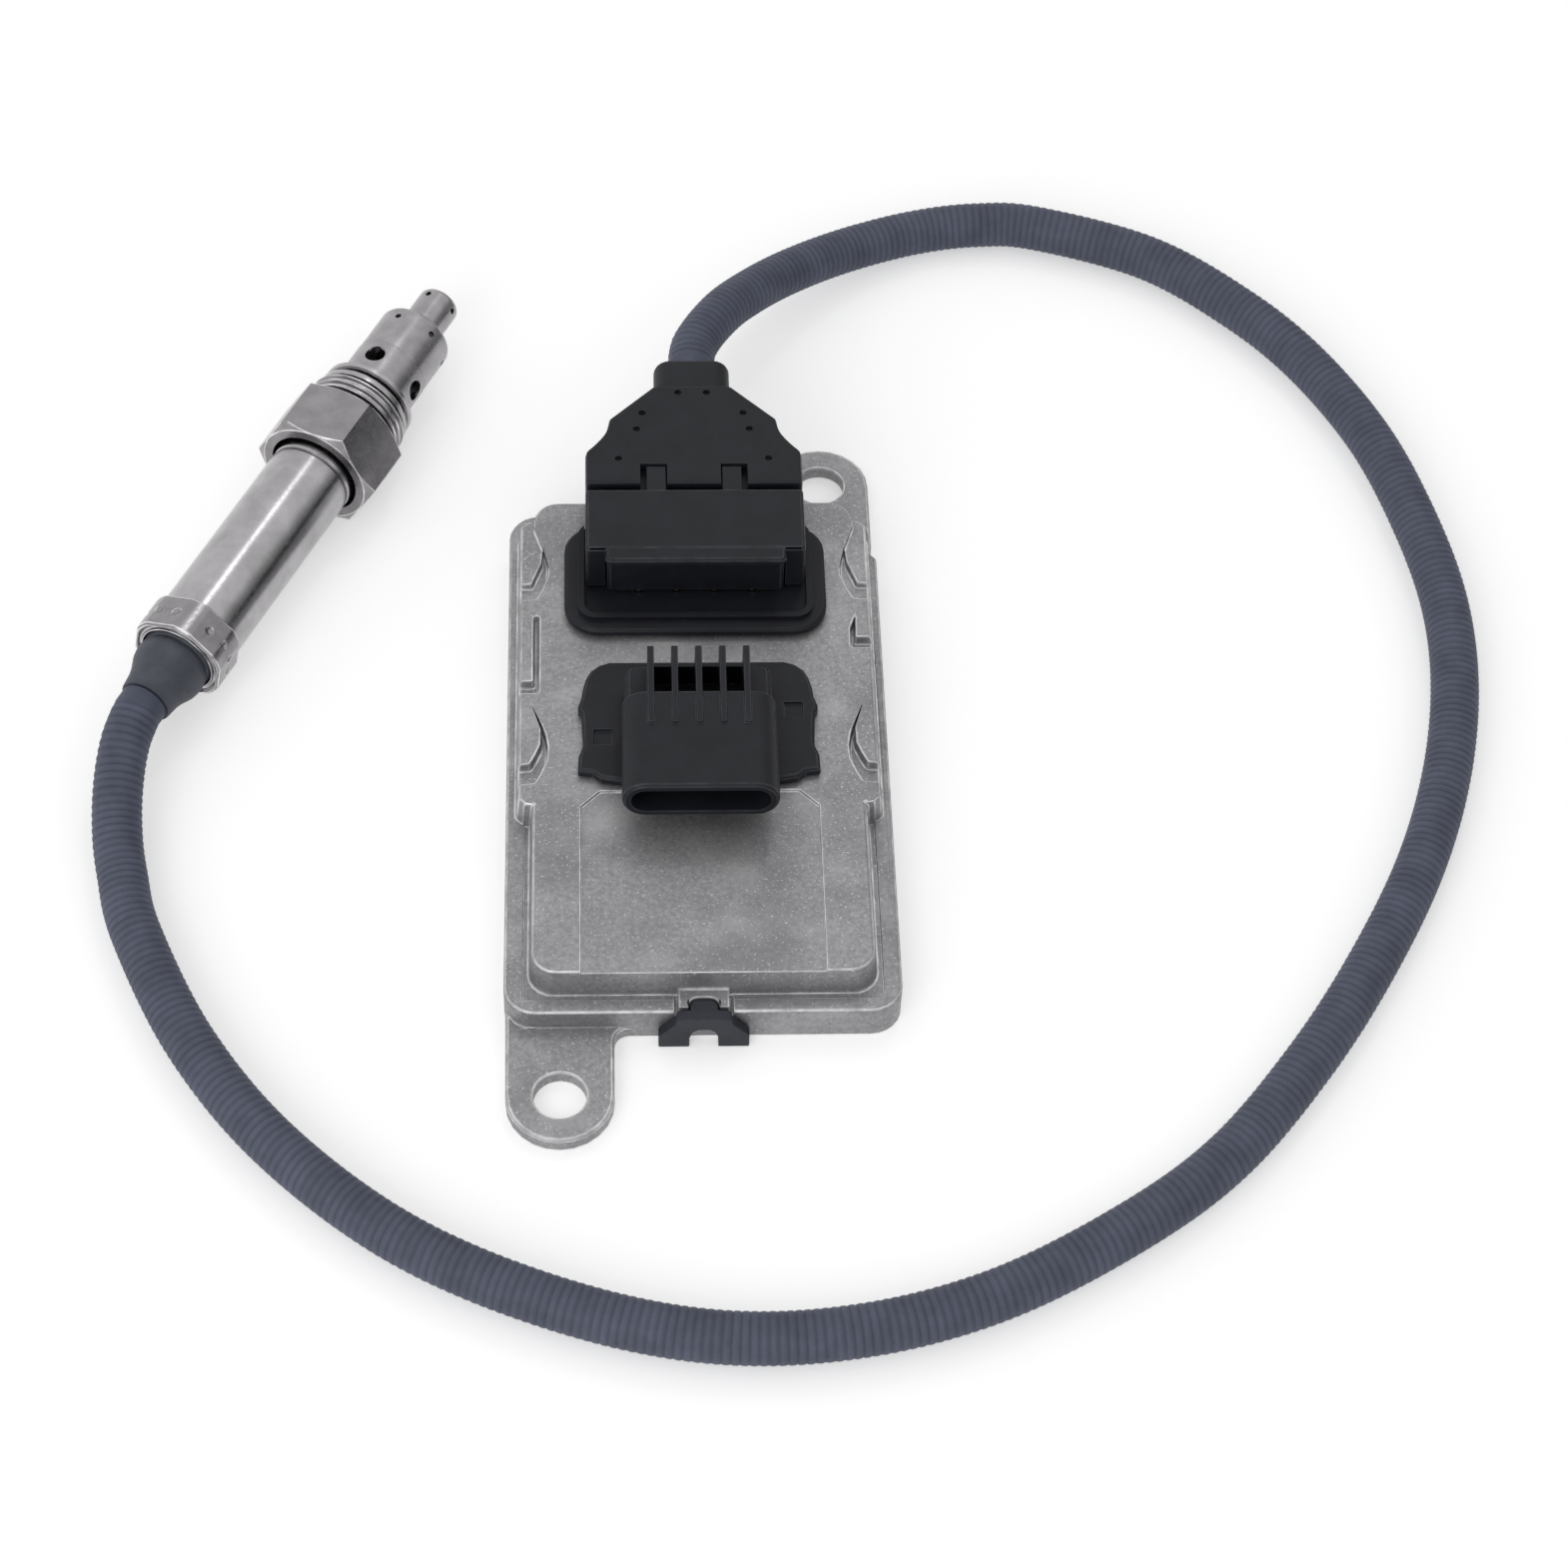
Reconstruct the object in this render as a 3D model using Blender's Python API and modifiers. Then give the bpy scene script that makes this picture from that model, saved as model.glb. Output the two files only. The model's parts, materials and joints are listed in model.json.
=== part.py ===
"""A nitrogen oxide sensor: a die-cast control unit, a cable and an exhaust probe.

Metres, +Z up. The origin is the centre of the control unit's underside, +Y points
from the vehicle connector to the cable hood, and everything rests on z = 0.
"""
import math

import bmesh
import bpy
from mathutils import Matrix, Vector

MM = 0.001

# Running and resting gap between neighbouring pieces
GAP = 0.3 * MM

# Edges steeper than this are shaded sharp and take a bevel
SHARP_ANGLE = math.radians(40)

# Die-cast housing: a base, and a plateau with a wider shelf along its far part
BASE_HALF_WIDTH = 34.7 * MM
BASE_HALF_LENGTH = 57.6 * MM
BASE_CORNER = 5.5 * MM
BASE_TOP = 7.5 * MM
JOG_DEPTH = 0.9 * MM
JOG_LENGTH = 10.1 * MM
PLATEAU_HALF_WIDTH = BASE_HALF_WIDTH - 4.4 * MM
PLATEAU_FRONT = 4.0 * MM - BASE_HALF_LENGTH
PLATEAU_FAR = BASE_HALF_LENGTH - 1.5 * MM
PLATEAU_CORNER = 4.4 * MM
PLATEAU_TOP = BASE_TOP + 5.9 * MM
SHELF_HALF_WIDTH = BASE_HALF_WIDTH - 1.8 * MM
SHELF_LENGTH = 72.7 * MM
SHELF_FRONT = PLATEAU_FAR - SHELF_LENGTH
SHELF_CORNER = 1.2 * MM
CASTING_DRAFT = 0.5 * MM
CASTING_EDGE = 0.8 * MM
WALL = 2.2 * MM
FOOT_GROOVE_WIDTH = 1.2 * MM
FOOT_GROOVE_DEPTH = 0.5 * MM
LABEL_HALF_WIDTH = PLATEAU_HALF_WIDTH - 9.1 * MM
LABEL_DEPTH = 0.5 * MM
LABEL_CORNER = 3.4 * MM

# Mounting ears, diagonally opposite
EAR_HALF_WIDTH = 9.4 * MM
EAR_OFFSET = BASE_HALF_WIDTH - 9.8 * MM
EAR_THICKNESS = 3.0 * MM
EAR_HOLE_RADIUS = 4.6 * MM
EAR_HOLE_FRONT = BASE_HALF_LENGTH + 13.9 * MM
EAR_HOLE_FAR = BASE_HALF_LENGTH + 11.4 * MM
EAR_FILLET = 2.6 * MM

# Trenches cut down from the shelf. Points are in millimetres: in from the shelf's side,
# and back from the plateau's far end.
TRENCH_FLOOR = PLATEAU_TOP - 2.1 * MM
PAD_TOP = PLATEAU_TOP - 0.8 * MM
TRENCH_REACH = 5.7 * MM
OUTSIDE = -2.6
UPPER_TRENCH = [
    (4.7, 11.8), (5.6, 16.1), (5.5, 19.1), (4.4, 22.3), (3.4, 24.6), (OUTSIDE, 25.1),
    (OUTSIDE, 20.6), (2.6, 20.5), (3.2, 18.7), (4.4, 15.3),
]
UPPER_PAD = [
    (4.9, OUTSIDE), (4.9, 0.5), (3.1, 3.1), (2.9, 6.6), (4.75, 12.6), (5.0, 15.7), (4.4, 18.9),
    (3.0, 21.3), (OUTSIDE, 22.6), (OUTSIDE, OUTSIDE),
]
LOWER_TRENCH = [
    (2.9, 50.0), (4.3, 53.5), (5.3, 57.0), (5.7, 59.7), (5.5, 62.5), (4.5, 65.4), (3.4, 67.8),
    (OUTSIDE, 68.2), (OUTSIDE, 64.1), (2.6, 63.6), (3.6, 61.5), (4.5, 59.0), (4.6, 56.1),
]
LEFT_SLOT = [(3.1, 28.9), (4.0, 28.9), (4.0, 47.0), (OUTSIDE, 47.0), (OUTSIDE, 44.4), (3.1, 44.4)]
RIGHT_SLOT = [(3.4, 29.2), (4.3, 32.0), (4.4, 36.5), (OUTSIDE, 36.5), (OUTSIDE, 34.2), (3.6, 34.2)]

# Base plate, its seal and screws
PLATE_THICKNESS = 1.5 * MM
SEAL_THICKNESS = 0.7 * MM
SEAL_WIDTH = 1.4 * MM
RIM_WALL = 2.4 * MM
COVER_BOSS_X = BASE_HALF_WIDTH - 8.3 * MM
COVER_BOSS_Y = BASE_HALF_LENGTH - 9.0 * MM
COVER_BOSS_RADIUS = 3.4 * MM
SCREW_RADIUS = 1.4 * MM
SCREW_HEAD_RADIUS = 2.6 * MM
SCREW_HEAD_HEIGHT = 1.2 * MM
COVER_SCREW_LENGTH = 7.5 * MM

# Circuit board and what stands on it
ROOM_HALF_WIDTH = SHELF_HALF_WIDTH - TRENCH_REACH - 1.0 * MM
BOARD_HALF_WIDTH = ROOM_HALF_WIDTH - 0.8 * MM
BOARD_HALF_LENGTH = BASE_HALF_LENGTH - 13.1 * MM
BOARD_LOW = 5.0 * MM
BOARD_THICKNESS = 1.6 * MM
BOARD_BOSS_X = BOARD_HALF_WIDTH - 3.9 * MM
BOARD_BOSS_Y = BOARD_HALF_LENGTH - 4.0 * MM
BOARD_BOSS_RADIUS = 3.0 * MM
BOARD_SCREW_LENGTH = 5.0 * MM
CHIP_HEIGHT = 1.4 * MM

# Sensor header on the housing
HEADER_HALF_WIDTH = 24.2 * MM
HEADER_FAR = PLATEAU_FAR - 8.2 * MM
HEADER_FRONT = HEADER_FAR - 26.1 * MM
HEADER_CORNER = 6.5 * MM
HEADER_THICKNESS = 1.9 * MM
HEADER_RIM = 1.2 * MM
HEADER_RIM_RISE = 1.0 * MM
HEADER_INSERT_HALF_WIDTH = 16.0 * MM
HEADER_INSERT_FAR = HEADER_FAR - 8.4 * MM
HEADER_INSERT_FRONT = HEADER_INSERT_FAR - 10.0 * MM
HEADER_PIN_COLUMNS = 4
HEADER_PIN_PITCH = 7.0 * MM
HEADER_PIN_ROW_GAP = 5.0 * MM
HEADER_PIN_RISE = 5.0 * MM

# Vehicle connector, in front of the header
FLANGE_HALF_WIDTH = 21.7 * MM
FLANGE_FAR = HEADER_FRONT - 7.2 * MM
FLANGE_NOSE = FLANGE_FAR - 27.5 * MM
FLANGE_THICKNESS = 1.8 * MM
FLANGE_EDGE = 0.5 * MM
LABEL_FAR = FLANGE_NOSE - 0.8 * MM
BARREL_HALF_WIDTH = 13.9 * MM
BARREL_LOW = PLATEAU_TOP + 3.8 * MM
BARREL_HIGH = BARREL_LOW + 8.8 * MM
BARREL_MOUTH = FLANGE_NOSE - 9.6 * MM
BARREL_REAR = BARREL_MOUTH + 21.8 * MM
BARREL_CORNER = 4.2 * MM
BARREL_WALL = 1.6 * MM
SOCKET_DEPTH = 14.0 * MM
PEDESTAL_HALF_WIDTH = BARREL_HALF_WIDTH - 0.7 * MM
PEDESTAL_FRONT = FLANGE_NOSE + 0.9 * MM
PEDESTAL_FAR = FLANGE_FAR - 5.1 * MM
PEDESTAL_TOP = BARREL_HIGH - 5.0 * MM
WELL_RIM = 0.8 * MM
FIN_COUNT = 5
FIN_PITCH = 4.3 * MM
FIN_THICKNESS = 1.2 * MM
FIN_FRONT = BARREL_REAR - 7.7 * MM
FIN_FAR = PEDESTAL_FAR - 0.5 * WELL_RIM
FIN_RISE = 0.5 * MM
KEY_RECESS = 3.4 * MM
KEY_RECESS_DEPTH = 0.6 * MM
KEY_RECESS_X = FLANGE_HALF_WIDTH - 4.5 * MM
KEY_RECESS_LEFT_Y = FLANGE_FAR - 17.6 * MM
KEY_RECESS_RIGHT_Y = FLANGE_FAR - 11.5 * MM
INSERT_HALF_WIDTH = 13.4 * MM
INSERT_FRONT = FLANGE_FAR - 20.0 * MM
INSERT_FAR = INSERT_FRONT + 12.0 * MM
INSERT_DROP = 4.0 * MM
INSERT_CORNER = 2.0 * MM
WINDOW_MARGIN = 2.0 * MM
PIN_COUNT = 5
PIN_PITCH = 4.0 * MM
PIN_RADIUS = 0.55 * MM
PIN_BEND_Y = INSERT_FRONT + 2.0 * MM
PIN_REACH = 8.5 * MM
PIN_TAIL = 1.0 * MM

# The connector flange's edge in millimetres: in from its widest, and back from its far end
FLANGE_OUTLINE = [
    (5.7, 0.0), (3.8, 0.7), (2.3, 2.0), (1.4, 3.9), (0.9, 6.0), (0.6, 8.3), (0.0, 10.2),
    (0.0, 11.2), (0.6, 12.2), (0.9, 19.4), (0.1, 21.7), (0.0, 25.2), (2.7, 25.6), (4.0, 26.8),
    (7.6, 27.5),
]

# Plug with its hood
HOOD_LOW = PLATEAU_TOP + 0.6 * MM
HOOD_TOP = HOOD_LOW + 12.5 * MM
HOOD_HALF_WIDTH = HEADER_HALF_WIDTH - 4.0 * MM
HOOD_SHOULDER_HALF_WIDTH = HOOD_HALF_WIDTH - 4.5 * MM
HOOD_FRONT = HEADER_FAR + 0.4 * MM
HOOD_SIDE_END = HOOD_FRONT + 8.3 * MM
HOOD_SHOULDER_LOW = HOOD_FRONT + 14.9 * MM
HOOD_SHOULDER_HIGH = HOOD_SHOULDER_LOW + 1.8 * MM
HOOD_NECK_START = HOOD_FRONT + 25.3 * MM
NECK_HALF_WIDTH = 7.2 * MM
NECK_HEIGHT = 12.0 * MM
NECK_END = HOOD_NECK_START + 7.1 * MM
NECK_CORNER = 3.2 * MM
HOOD_EDGE = 0.9 * MM
TAB_HALF_WIDTH = 5.0 * MM
FINGER_HALF_GAP = 8.8 * MM
FINGER_REACH = 4.6 * MM
DIMPLE_RADIUS = 0.75 * MM
DIMPLE_DEPTH = 0.7 * MM
COVER_FRONT = HEADER_FRONT + 10.3 * MM
COVER_LIP = COVER_FRONT - 2.7 * MM
COVER_CAVITY_HALF_WIDTH = HOOD_HALF_WIDTH - 3.6 * MM
COVER_ROOF = 1.9 * MM
PLUG_FRONT = HEADER_FRONT + 9.1 * MM
PLUG_FAR = HEADER_FAR - 2.5 * MM

# The hood's dimples in millimetres: out from its middle, and back from the start of the neck
HOOD_DIMPLES = [(2.7, 2.1), (9.5, 7.4), (10.6, 11.5), (14.0, 19.0)]

# Spring clip on the front wall, and the cast tab that it hooks into
TAB_WIDTH = 9.0 * MM
TAB_TOP = BASE_TOP + 1.0 * MM
TAB_GROOVE = 0.6 * MM
ARCH_HALF_WIDTH = 2.7 * MM
ARCH_DEPTH = 2.3 * MM
ARCH_CORNER = 1.8 * MM
NOTCH_FLOOR = BASE_TOP - 2.1 * MM
CLIP_THICKNESS = 1.9 * MM
CLIP_SHOULDER_HALF_WIDTH = 5.0 * MM
CLIP_FOOT_OUTER = 7.9 * MM
CLIP_FOOT_INNER = 2.5 * MM
CLIP_FOOT_TOP = 3.3 * MM
CLIP_CROTCH = 5.0 * MM

# Probe: its axis lies level, and stations run from the crimp collar to the tip
PROBE_ANGLE = math.radians(26.8)
PROBE_X = -95.2 * MM
PROBE_Y = 19.3 * MM
TUBE_RADIUS = 8.2 * MM
TUBE_WALL = 0.7 * MM
TUBE_START = 1.2 * MM
THREAD_RADIUS = TUBE_RADIUS + GAP + 1.5 * MM
THREAD_RELIEF = 1.2 * MM
NUT_REAR_BORE = TUBE_RADIUS + 0.8 * MM
HEX_ACROSS_FLATS = 2 * (THREAD_RADIUS + 1.0 * MM)
HEX_START = 51.5 * MM
HEX_LENGTH = 12.7 * MM
HEX_CHAMFER = 1.3 * MM
THREAD_END = HEX_START + HEX_LENGTH + 5.2 * MM
TUBE_END = HEX_START + 6.5 * MM
COLLAR_LENGTH = 7.9 * MM
COLLAR_WALL = 0.7 * MM
COLLAR_LIP = 0.6 * MM
COLLAR_SIDES = 12
CRIMP_RADIUS = 1.1 * MM
CRIMP_DEPTH = 0.4 * MM
BODY_BORE = TUBE_RADIUS - 3.2 * MM
FLANGE_RADIUS = THREAD_RADIUS - 0.4 * MM
SENSOR_FLANGE_LENGTH = 2.2 * MM
SPIGOT_END = THREAD_END + 6.6 * MM
SEAL_RING_RADIUS = THREAD_RADIUS - 0.7 * MM
SEAL_RING_THICKNESS = 1.3 * MM
CAP_RADIUS = TUBE_RADIUS - 0.7 * MM
CAP_WALL = 0.5 * MM
SPIGOT_RADIUS = CAP_RADIUS - CAP_WALL - 0.4 * MM
CAP_END = THREAD_END + 23.2 * MM
CAP_SHOULDER = 1.2 * MM
CAP_HOLE_RADIUS = 2.0 * MM
CAP_HOLE_STATION = THREAD_END + 9.0 * MM
CAP_HOLE_COUNT = 4
CAP_HOLE_TURN = math.radians(-8)
VENT_RADIUS = 0.6 * MM
VENT_STATION = CAP_END - 3.0 * MM
VENT_COUNT = 6
VENT_TURN = math.radians(14)
INNER_CAP_RADIUS = 4.1 * MM
INNER_CAP_WALL = 0.45 * MM
INNER_CAP_END = CAP_END + 9.7 * MM
INNER_VENT_COUNT = 4
INNER_VENT_STATION = INNER_CAP_END - 1.9 * MM
INNER_VENT_TURN = math.radians(71)
CERAMIC_END = SPIGOT_END - 3.0 * MM
CERAMIC_START = CERAMIC_END - 19.0 * MM
CERAMIC_COUNT = 3
ELEMENT_WIDTH = 4.2 * MM
ELEMENT_THICKNESS = 1.6 * MM
ELEMENT_START = CERAMIC_START - 20.0 * MM
ELEMENT_END = INNER_CAP_END - 3.3 * MM
TERMINAL_BLOCK_START = ELEMENT_START - 12.0 * MM
TERMINAL_BLOCK_LENGTH = 22.0 * MM

# Rubber grommet and cable
CABLE_RADIUS = 4.5 * MM
GROMMET_LENGTH = 11.0 * MM
GROMMET_BULGE = TUBE_RADIUS - 1.3 * MM
GROMMET_INSIDE = 8.0 * MM
CABLE_LEAD = 3.0 * MM
CABLE_POINT_COUNT = 60

# The cable's way from the hood to the probe, chosen by hand, in millimetres
CABLE_ROUTE = [
    (0.9, 90.5, 19.5), (4.9, 99.0, 18.1), (10.0, 107.2, 15.6), (19.4, 118.6, 11.2),
    (32.0, 129.6, 6.8), (46.7, 137.1, 4.6), (59.8, 139.3, 4.6), (72.0, 138.3, 4.6),
    (94.2, 129.6, 4.6), (111.1, 115.2, 4.6), (123.0, 100.2, 4.6), (133.0, 80.6, 4.6),
    (138.9, 60.2, 4.6), (142.3, 38.5, 4.6), (141.7, 17.6, 4.6), (137.2, -4.3, 4.6),
    (129.2, -26.0, 4.6), (117.4, -48.0, 4.6), (104.4, -67.6, 4.6), (88.8, -86.3, 4.6),
    (71.2, -100.0, 4.6), (47.8, -112.8, 4.6), (24.1, -119.4, 4.6), (0.0, -120.0, 4.6),
    (-25.0, -113.6, 4.6), (-50.6, -101.0, 4.6), (-72.5, -82.3, 4.6), (-88.2, -61.2, 4.6),
    (-99.1, -38.0, 4.6), (-102.5, -25.0, 4.7), (-103.9, -16.0, 6.0), (-104.1, -7.5, 8.1),
    (-103.3, 0.4, 10.0),
]


def clear_scene():
    """Remove what the file starts with."""
    for item in list(bpy.data.objects):
        bpy.data.objects.remove(item, do_unlink=True)


def new_collection(name):
    """A collection in the scene."""
    group = bpy.data.collections.new(name)
    bpy.context.scene.collection.children.link(group)
    return group


def new_material(name, colour, roughness, metallic):
    """A plain Principled material."""
    material = bpy.data.materials.new(name)
    material.use_nodes = True
    shader = material.node_tree.nodes["Principled BSDF"]
    shader.inputs["Base Color"].default_value = (*colour, 1.0)
    shader.inputs["Roughness"].default_value = roughness
    shader.inputs["Metallic"].default_value = metallic
    return material


clear_scene()
PARTS = new_collection("nox_sensor")
CUTTERS = new_collection("cutters")

ALUMINIUM = new_material("cast_aluminium", (0.27, 0.27, 0.28), 0.5, 1.0)
PLATE_METAL = new_material("rolled_aluminium", (0.45, 0.45, 0.46), 0.4, 1.0)
PLASTIC = new_material("black_plastic", (0.02, 0.022, 0.026), 0.45, 0.0)
RUBBER = new_material("slate_rubber", (0.06, 0.065, 0.085), 0.65, 0.0)
SILICONE = new_material("orange_silicone", (0.5, 0.16, 0.04), 0.6, 0.0)
STEEL = new_material("stainless_steel", (0.45, 0.45, 0.46), 0.22, 1.0)
ZINC = new_material("zinc_plated_steel", (0.5, 0.5, 0.5), 0.3, 1.0)
BRASS = new_material("tinned_brass", (0.6, 0.52, 0.35), 0.3, 1.0)
LAMINATE = new_material("board_laminate", (0.02, 0.12, 0.05), 0.5, 0.0)
CHIP = new_material("moulded_chip", (0.015, 0.015, 0.015), 0.5, 0.0)
CERAMIC = new_material("white_ceramic", (0.8, 0.79, 0.75), 0.5, 0.0)


def place(obj, material=None, parent=None):
    """Put an object among the parts, or among the cutters when it has no material."""
    group = PARTS if material else CUTTERS
    for other in obj.users_collection:
        other.objects.unlink(obj)
    group.objects.link(obj)
    obj.parent = parent
    if material:
        obj.data.materials.clear()
        obj.data.materials.append(material)
    else:
        obj.hide_render = True
        obj.display_type = "WIRE"
    return obj


def to_mesh(curve_object):
    """Turn a curve object into a welded mesh object of the same name."""
    bpy.context.view_layer.update()
    graph = bpy.context.evaluated_depsgraph_get()
    mesh = bpy.data.meshes.new_from_object(curve_object.evaluated_get(graph))
    mesh.transform(curve_object.matrix_world)
    name = curve_object.name
    bpy.data.objects.remove(curve_object, do_unlink=True)
    form = bmesh.new()
    form.from_mesh(mesh)
    bmesh.ops.remove_doubles(form, verts=form.verts, dist=0.000001)
    bmesh.ops.dissolve_limit(form, angle_limit=0.002, verts=form.verts, edges=form.edges)
    form.to_mesh(mesh)
    form.free()
    mesh.shade_smooth()
    mesh.set_sharp_from_angle(angle=SHARP_ANGLE)
    solid = bpy.data.objects.new(name, mesh)
    bpy.context.scene.collection.objects.link(solid)
    return solid


def prism(name, outline, low, high, along="Z"):
    """A flat outline extruded from low to high along Z, along Y (X-Z outline) or X (Y-Z)."""
    curve = bpy.data.curves.new(name, "CURVE")
    curve.dimensions = "2D"
    curve.fill_mode = "BOTH"
    curve.extrude = (high - low) / 2
    spline = curve.splines.new("POLY")
    spline.points.add(len(outline) - 1)
    for point, (across, up) in zip(spline.points, outline):
        point.co = (across, up, 0.0, 1.0)
    spline.use_cyclic_u = True
    holder = bpy.data.objects.new(name, curve)
    middle = (low + high) / 2
    holder.location = (0, 0, middle)
    if along == "Y":
        holder.rotation_euler = (math.pi / 2, 0, 0)
        holder.location = (0, middle, 0)
    if along == "X":
        holder.rotation_euler = (math.pi / 2, 0, math.pi / 2)
        holder.location = (middle, 0, 0)
    bpy.context.scene.collection.objects.link(holder)
    return to_mesh(holder)


def arc(centre, radius, start, end, steps=6):
    """Points along an arc, with the angles in degrees."""
    points = []
    for step in range(steps + 1):
        angle = math.radians(start + (end - start) * step / steps)
        points.append((centre[0] + radius * math.cos(angle), centre[1] + radius * math.sin(angle)))
    return points


def rounded_box(left, right, front, far, corner, steps=6):
    """The outline of a rectangle with rounded corners."""
    points = arc((right - corner, far - corner), corner, 0, 90, steps)
    points += arc((left + corner, far - corner), corner, 90, 180, steps)
    points += arc((left + corner, front + corner), corner, 180, 270, steps)
    points += arc((right - corner, front + corner), corner, 270, 360, steps)
    return points


def mirrored(half):
    """An outline from its right half, which runs from the far end to the front."""
    return half + [(-x, y) for x, y in reversed(half)]


def turned(name, profile, steps=36, closed=False):
    """A profile of (radius, height) turned about Z. It runs down the outer side."""
    mesh = bpy.data.meshes.new(name)
    form = bmesh.new()
    corners = [form.verts.new((radius, 0.0, height)) for radius, height in profile]
    for first, second in zip(corners, corners[1:]):
        form.edges.new((first, second))
    if closed:
        form.edges.new((corners[-1], corners[0]))
    form.to_mesh(mesh)
    form.free()
    obj = bpy.data.objects.new(name, mesh)
    bpy.context.scene.collection.objects.link(obj)
    screw = obj.modifiers.new("Turn", "SCREW")
    screw.axis = "Z"
    screw.steps = steps
    screw.render_steps = steps
    screw.use_merge_vertices = True
    screw.merge_threshold = 0.00001
    return obj


def ring(name, outer, inner, low, high, steps=36):
    """A plain ring."""
    profile = [(outer, high), (outer, low), (inner, low), (inner, high)]
    return turned(name, profile, steps, closed=True)


def rod(name, radius, low, high, steps=24):
    """A plain round bar along Z."""
    profile = [(0.0, high), (radius, high), (radius, low), (0.0, low)]
    return turned(name, profile, steps)


def block(name, low, high):
    """A box between two corners."""
    mesh = bpy.data.meshes.new(name)
    form = bmesh.new()
    bmesh.ops.create_cube(form, size=1.0)
    size = [b - a for a, b in zip(low, high)]
    middle = [(a + b) / 2 for a, b in zip(low, high)]
    bmesh.ops.scale(form, vec=size, verts=form.verts)
    bmesh.ops.translate(form, vec=middle, verts=form.verts)
    form.to_mesh(mesh)
    form.free()
    obj = bpy.data.objects.new(name, mesh)
    bpy.context.scene.collection.objects.link(obj)
    return obj


def soften(obj, width, segments=2, height=None):
    """Round an object's sharp edges, or only those at one height."""
    bevel = obj.modifiers.new("Soften", "BEVEL")
    bevel.width = width
    bevel.segments = segments
    if height is None:
        bevel.limit_method = "ANGLE"
        bevel.angle_limit = SHARP_ANGLE
        return obj
    bevel.limit_method = "WEIGHT"
    weights = obj.data.attributes.new("bevel_weight_edge", "FLOAT", "EDGE")
    for edge in obj.data.edges:
        ends = [obj.data.vertices[index].co.z for index in edge.vertices]
        level = all(abs(end - height) < 0.00001 for end in ends)
        weights.data[edge.index].value = 1.0 if level else 0.0
    return obj


def join_shape(obj, other, operation="UNION"):
    """Add another shape to an object, or cut it out of the object."""
    if other.name not in CUTTERS.objects:
        place(other, parent=other.parent)
    boolean = obj.modifiers.new(other.name, "BOOLEAN")
    boolean.operation = operation
    boolean.solver = "EXACT"
    boolean.object = other
    return obj


def cut(obj, other):
    """Cut a shape out of an object."""
    return join_shape(obj, other, "DIFFERENCE")


def tube_along(name, points, radius, resolution):
    """A round tube along points."""
    curve = bpy.data.curves.new(name, "CURVE")
    curve.dimensions = "3D"
    curve.bevel_depth = radius
    curve.bevel_resolution = resolution
    curve.use_fill_caps = True
    spline = curve.splines.new("POLY")
    spline.points.add(len(points) - 1)
    for point, place_at in zip(spline.points, points):
        point.co = (*place_at, 1.0)
    holder = bpy.data.objects.new(name, curve)
    bpy.context.scene.collection.objects.link(holder)
    return holder


def side_cut(name, side, points, floor):
    """A cutter for one side of the shelf, from (in, back) points in millimetres."""
    outline = [(side * (SHELF_HALF_WIDTH - x * MM), PLATEAU_FAR - y * MM) for x, y in points]
    return prism(name, outline, floor, PLATEAU_TOP + WALL)


def ear_outline(x, hole_y, root_y):
    """One mounting ear, from inside the housing out round its hole."""
    side = 1 if hole_y > 0 else -1
    inner = x - side * EAR_HALF_WIDTH if side > 0 else x + EAR_HALF_WIDTH
    outer = x + side * EAR_HALF_WIDTH if side > 0 else x - EAR_HALF_WIDTH
    wall_y = side * BASE_HALF_LENGTH
    centre_x = inner - side * EAR_FILLET
    centre_y = wall_y + side * EAR_FILLET
    fillet = []
    for px, py in arc((0, 0), EAR_FILLET, 0, 90, 5):
        fillet.append((centre_x + side * px, centre_y - side * py))
    end = []
    for px, py in arc((0, 0), EAR_HALF_WIDTH, 180, 0, 12):
        end.append((x + side * px, hole_y + side * py))
    outline = [(outer, root_y), (centre_x, root_y)]
    return outline + list(reversed(fillet)) + end


def base_outline():
    """The base seen from above, a little narrower at its far end on the right."""
    right = BASE_HALF_WIDTH - JOG_DEPTH
    jog = BASE_HALF_LENGTH - JOG_LENGTH
    outline = rounded_box(-BASE_HALF_WIDTH, right, -BASE_HALF_LENGTH, BASE_HALF_LENGTH, BASE_CORNER)
    front_corner = arc(
        (BASE_HALF_WIDTH - BASE_CORNER, BASE_CORNER - BASE_HALF_LENGTH), BASE_CORNER, 270, 360
    )
    kept = outline[:-len(front_corner)]
    return kept + front_corner + [(BASE_HALF_WIDTH, jog - JOG_DEPTH), (right, jog)]


def plateau_outline():
    """The plateau with its shelf, seen from above."""
    straight = PLATEAU_HALF_WIDTH - PLATEAU_CORNER
    half = arc((straight, PLATEAU_FAR - PLATEAU_CORNER), PLATEAU_CORNER, 90, 0, 5)
    shelf_far = PLATEAU_FAR - PLATEAU_CORNER
    half += [
        (SHELF_HALF_WIDTH - SHELF_CORNER, shelf_far - GAP),
        (SHELF_HALF_WIDTH, shelf_far - SHELF_CORNER),
        (SHELF_HALF_WIDTH, SHELF_FRONT + SHELF_CORNER),
        (SHELF_HALF_WIDTH - SHELF_CORNER, SHELF_FRONT),
        (PLATEAU_HALF_WIDTH, SHELF_FRONT - GAP),
    ]
    half += arc((straight, PLATEAU_FRONT + PLATEAU_CORNER), PLATEAU_CORNER, 0, -90, 5)
    return mirrored(half)


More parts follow.
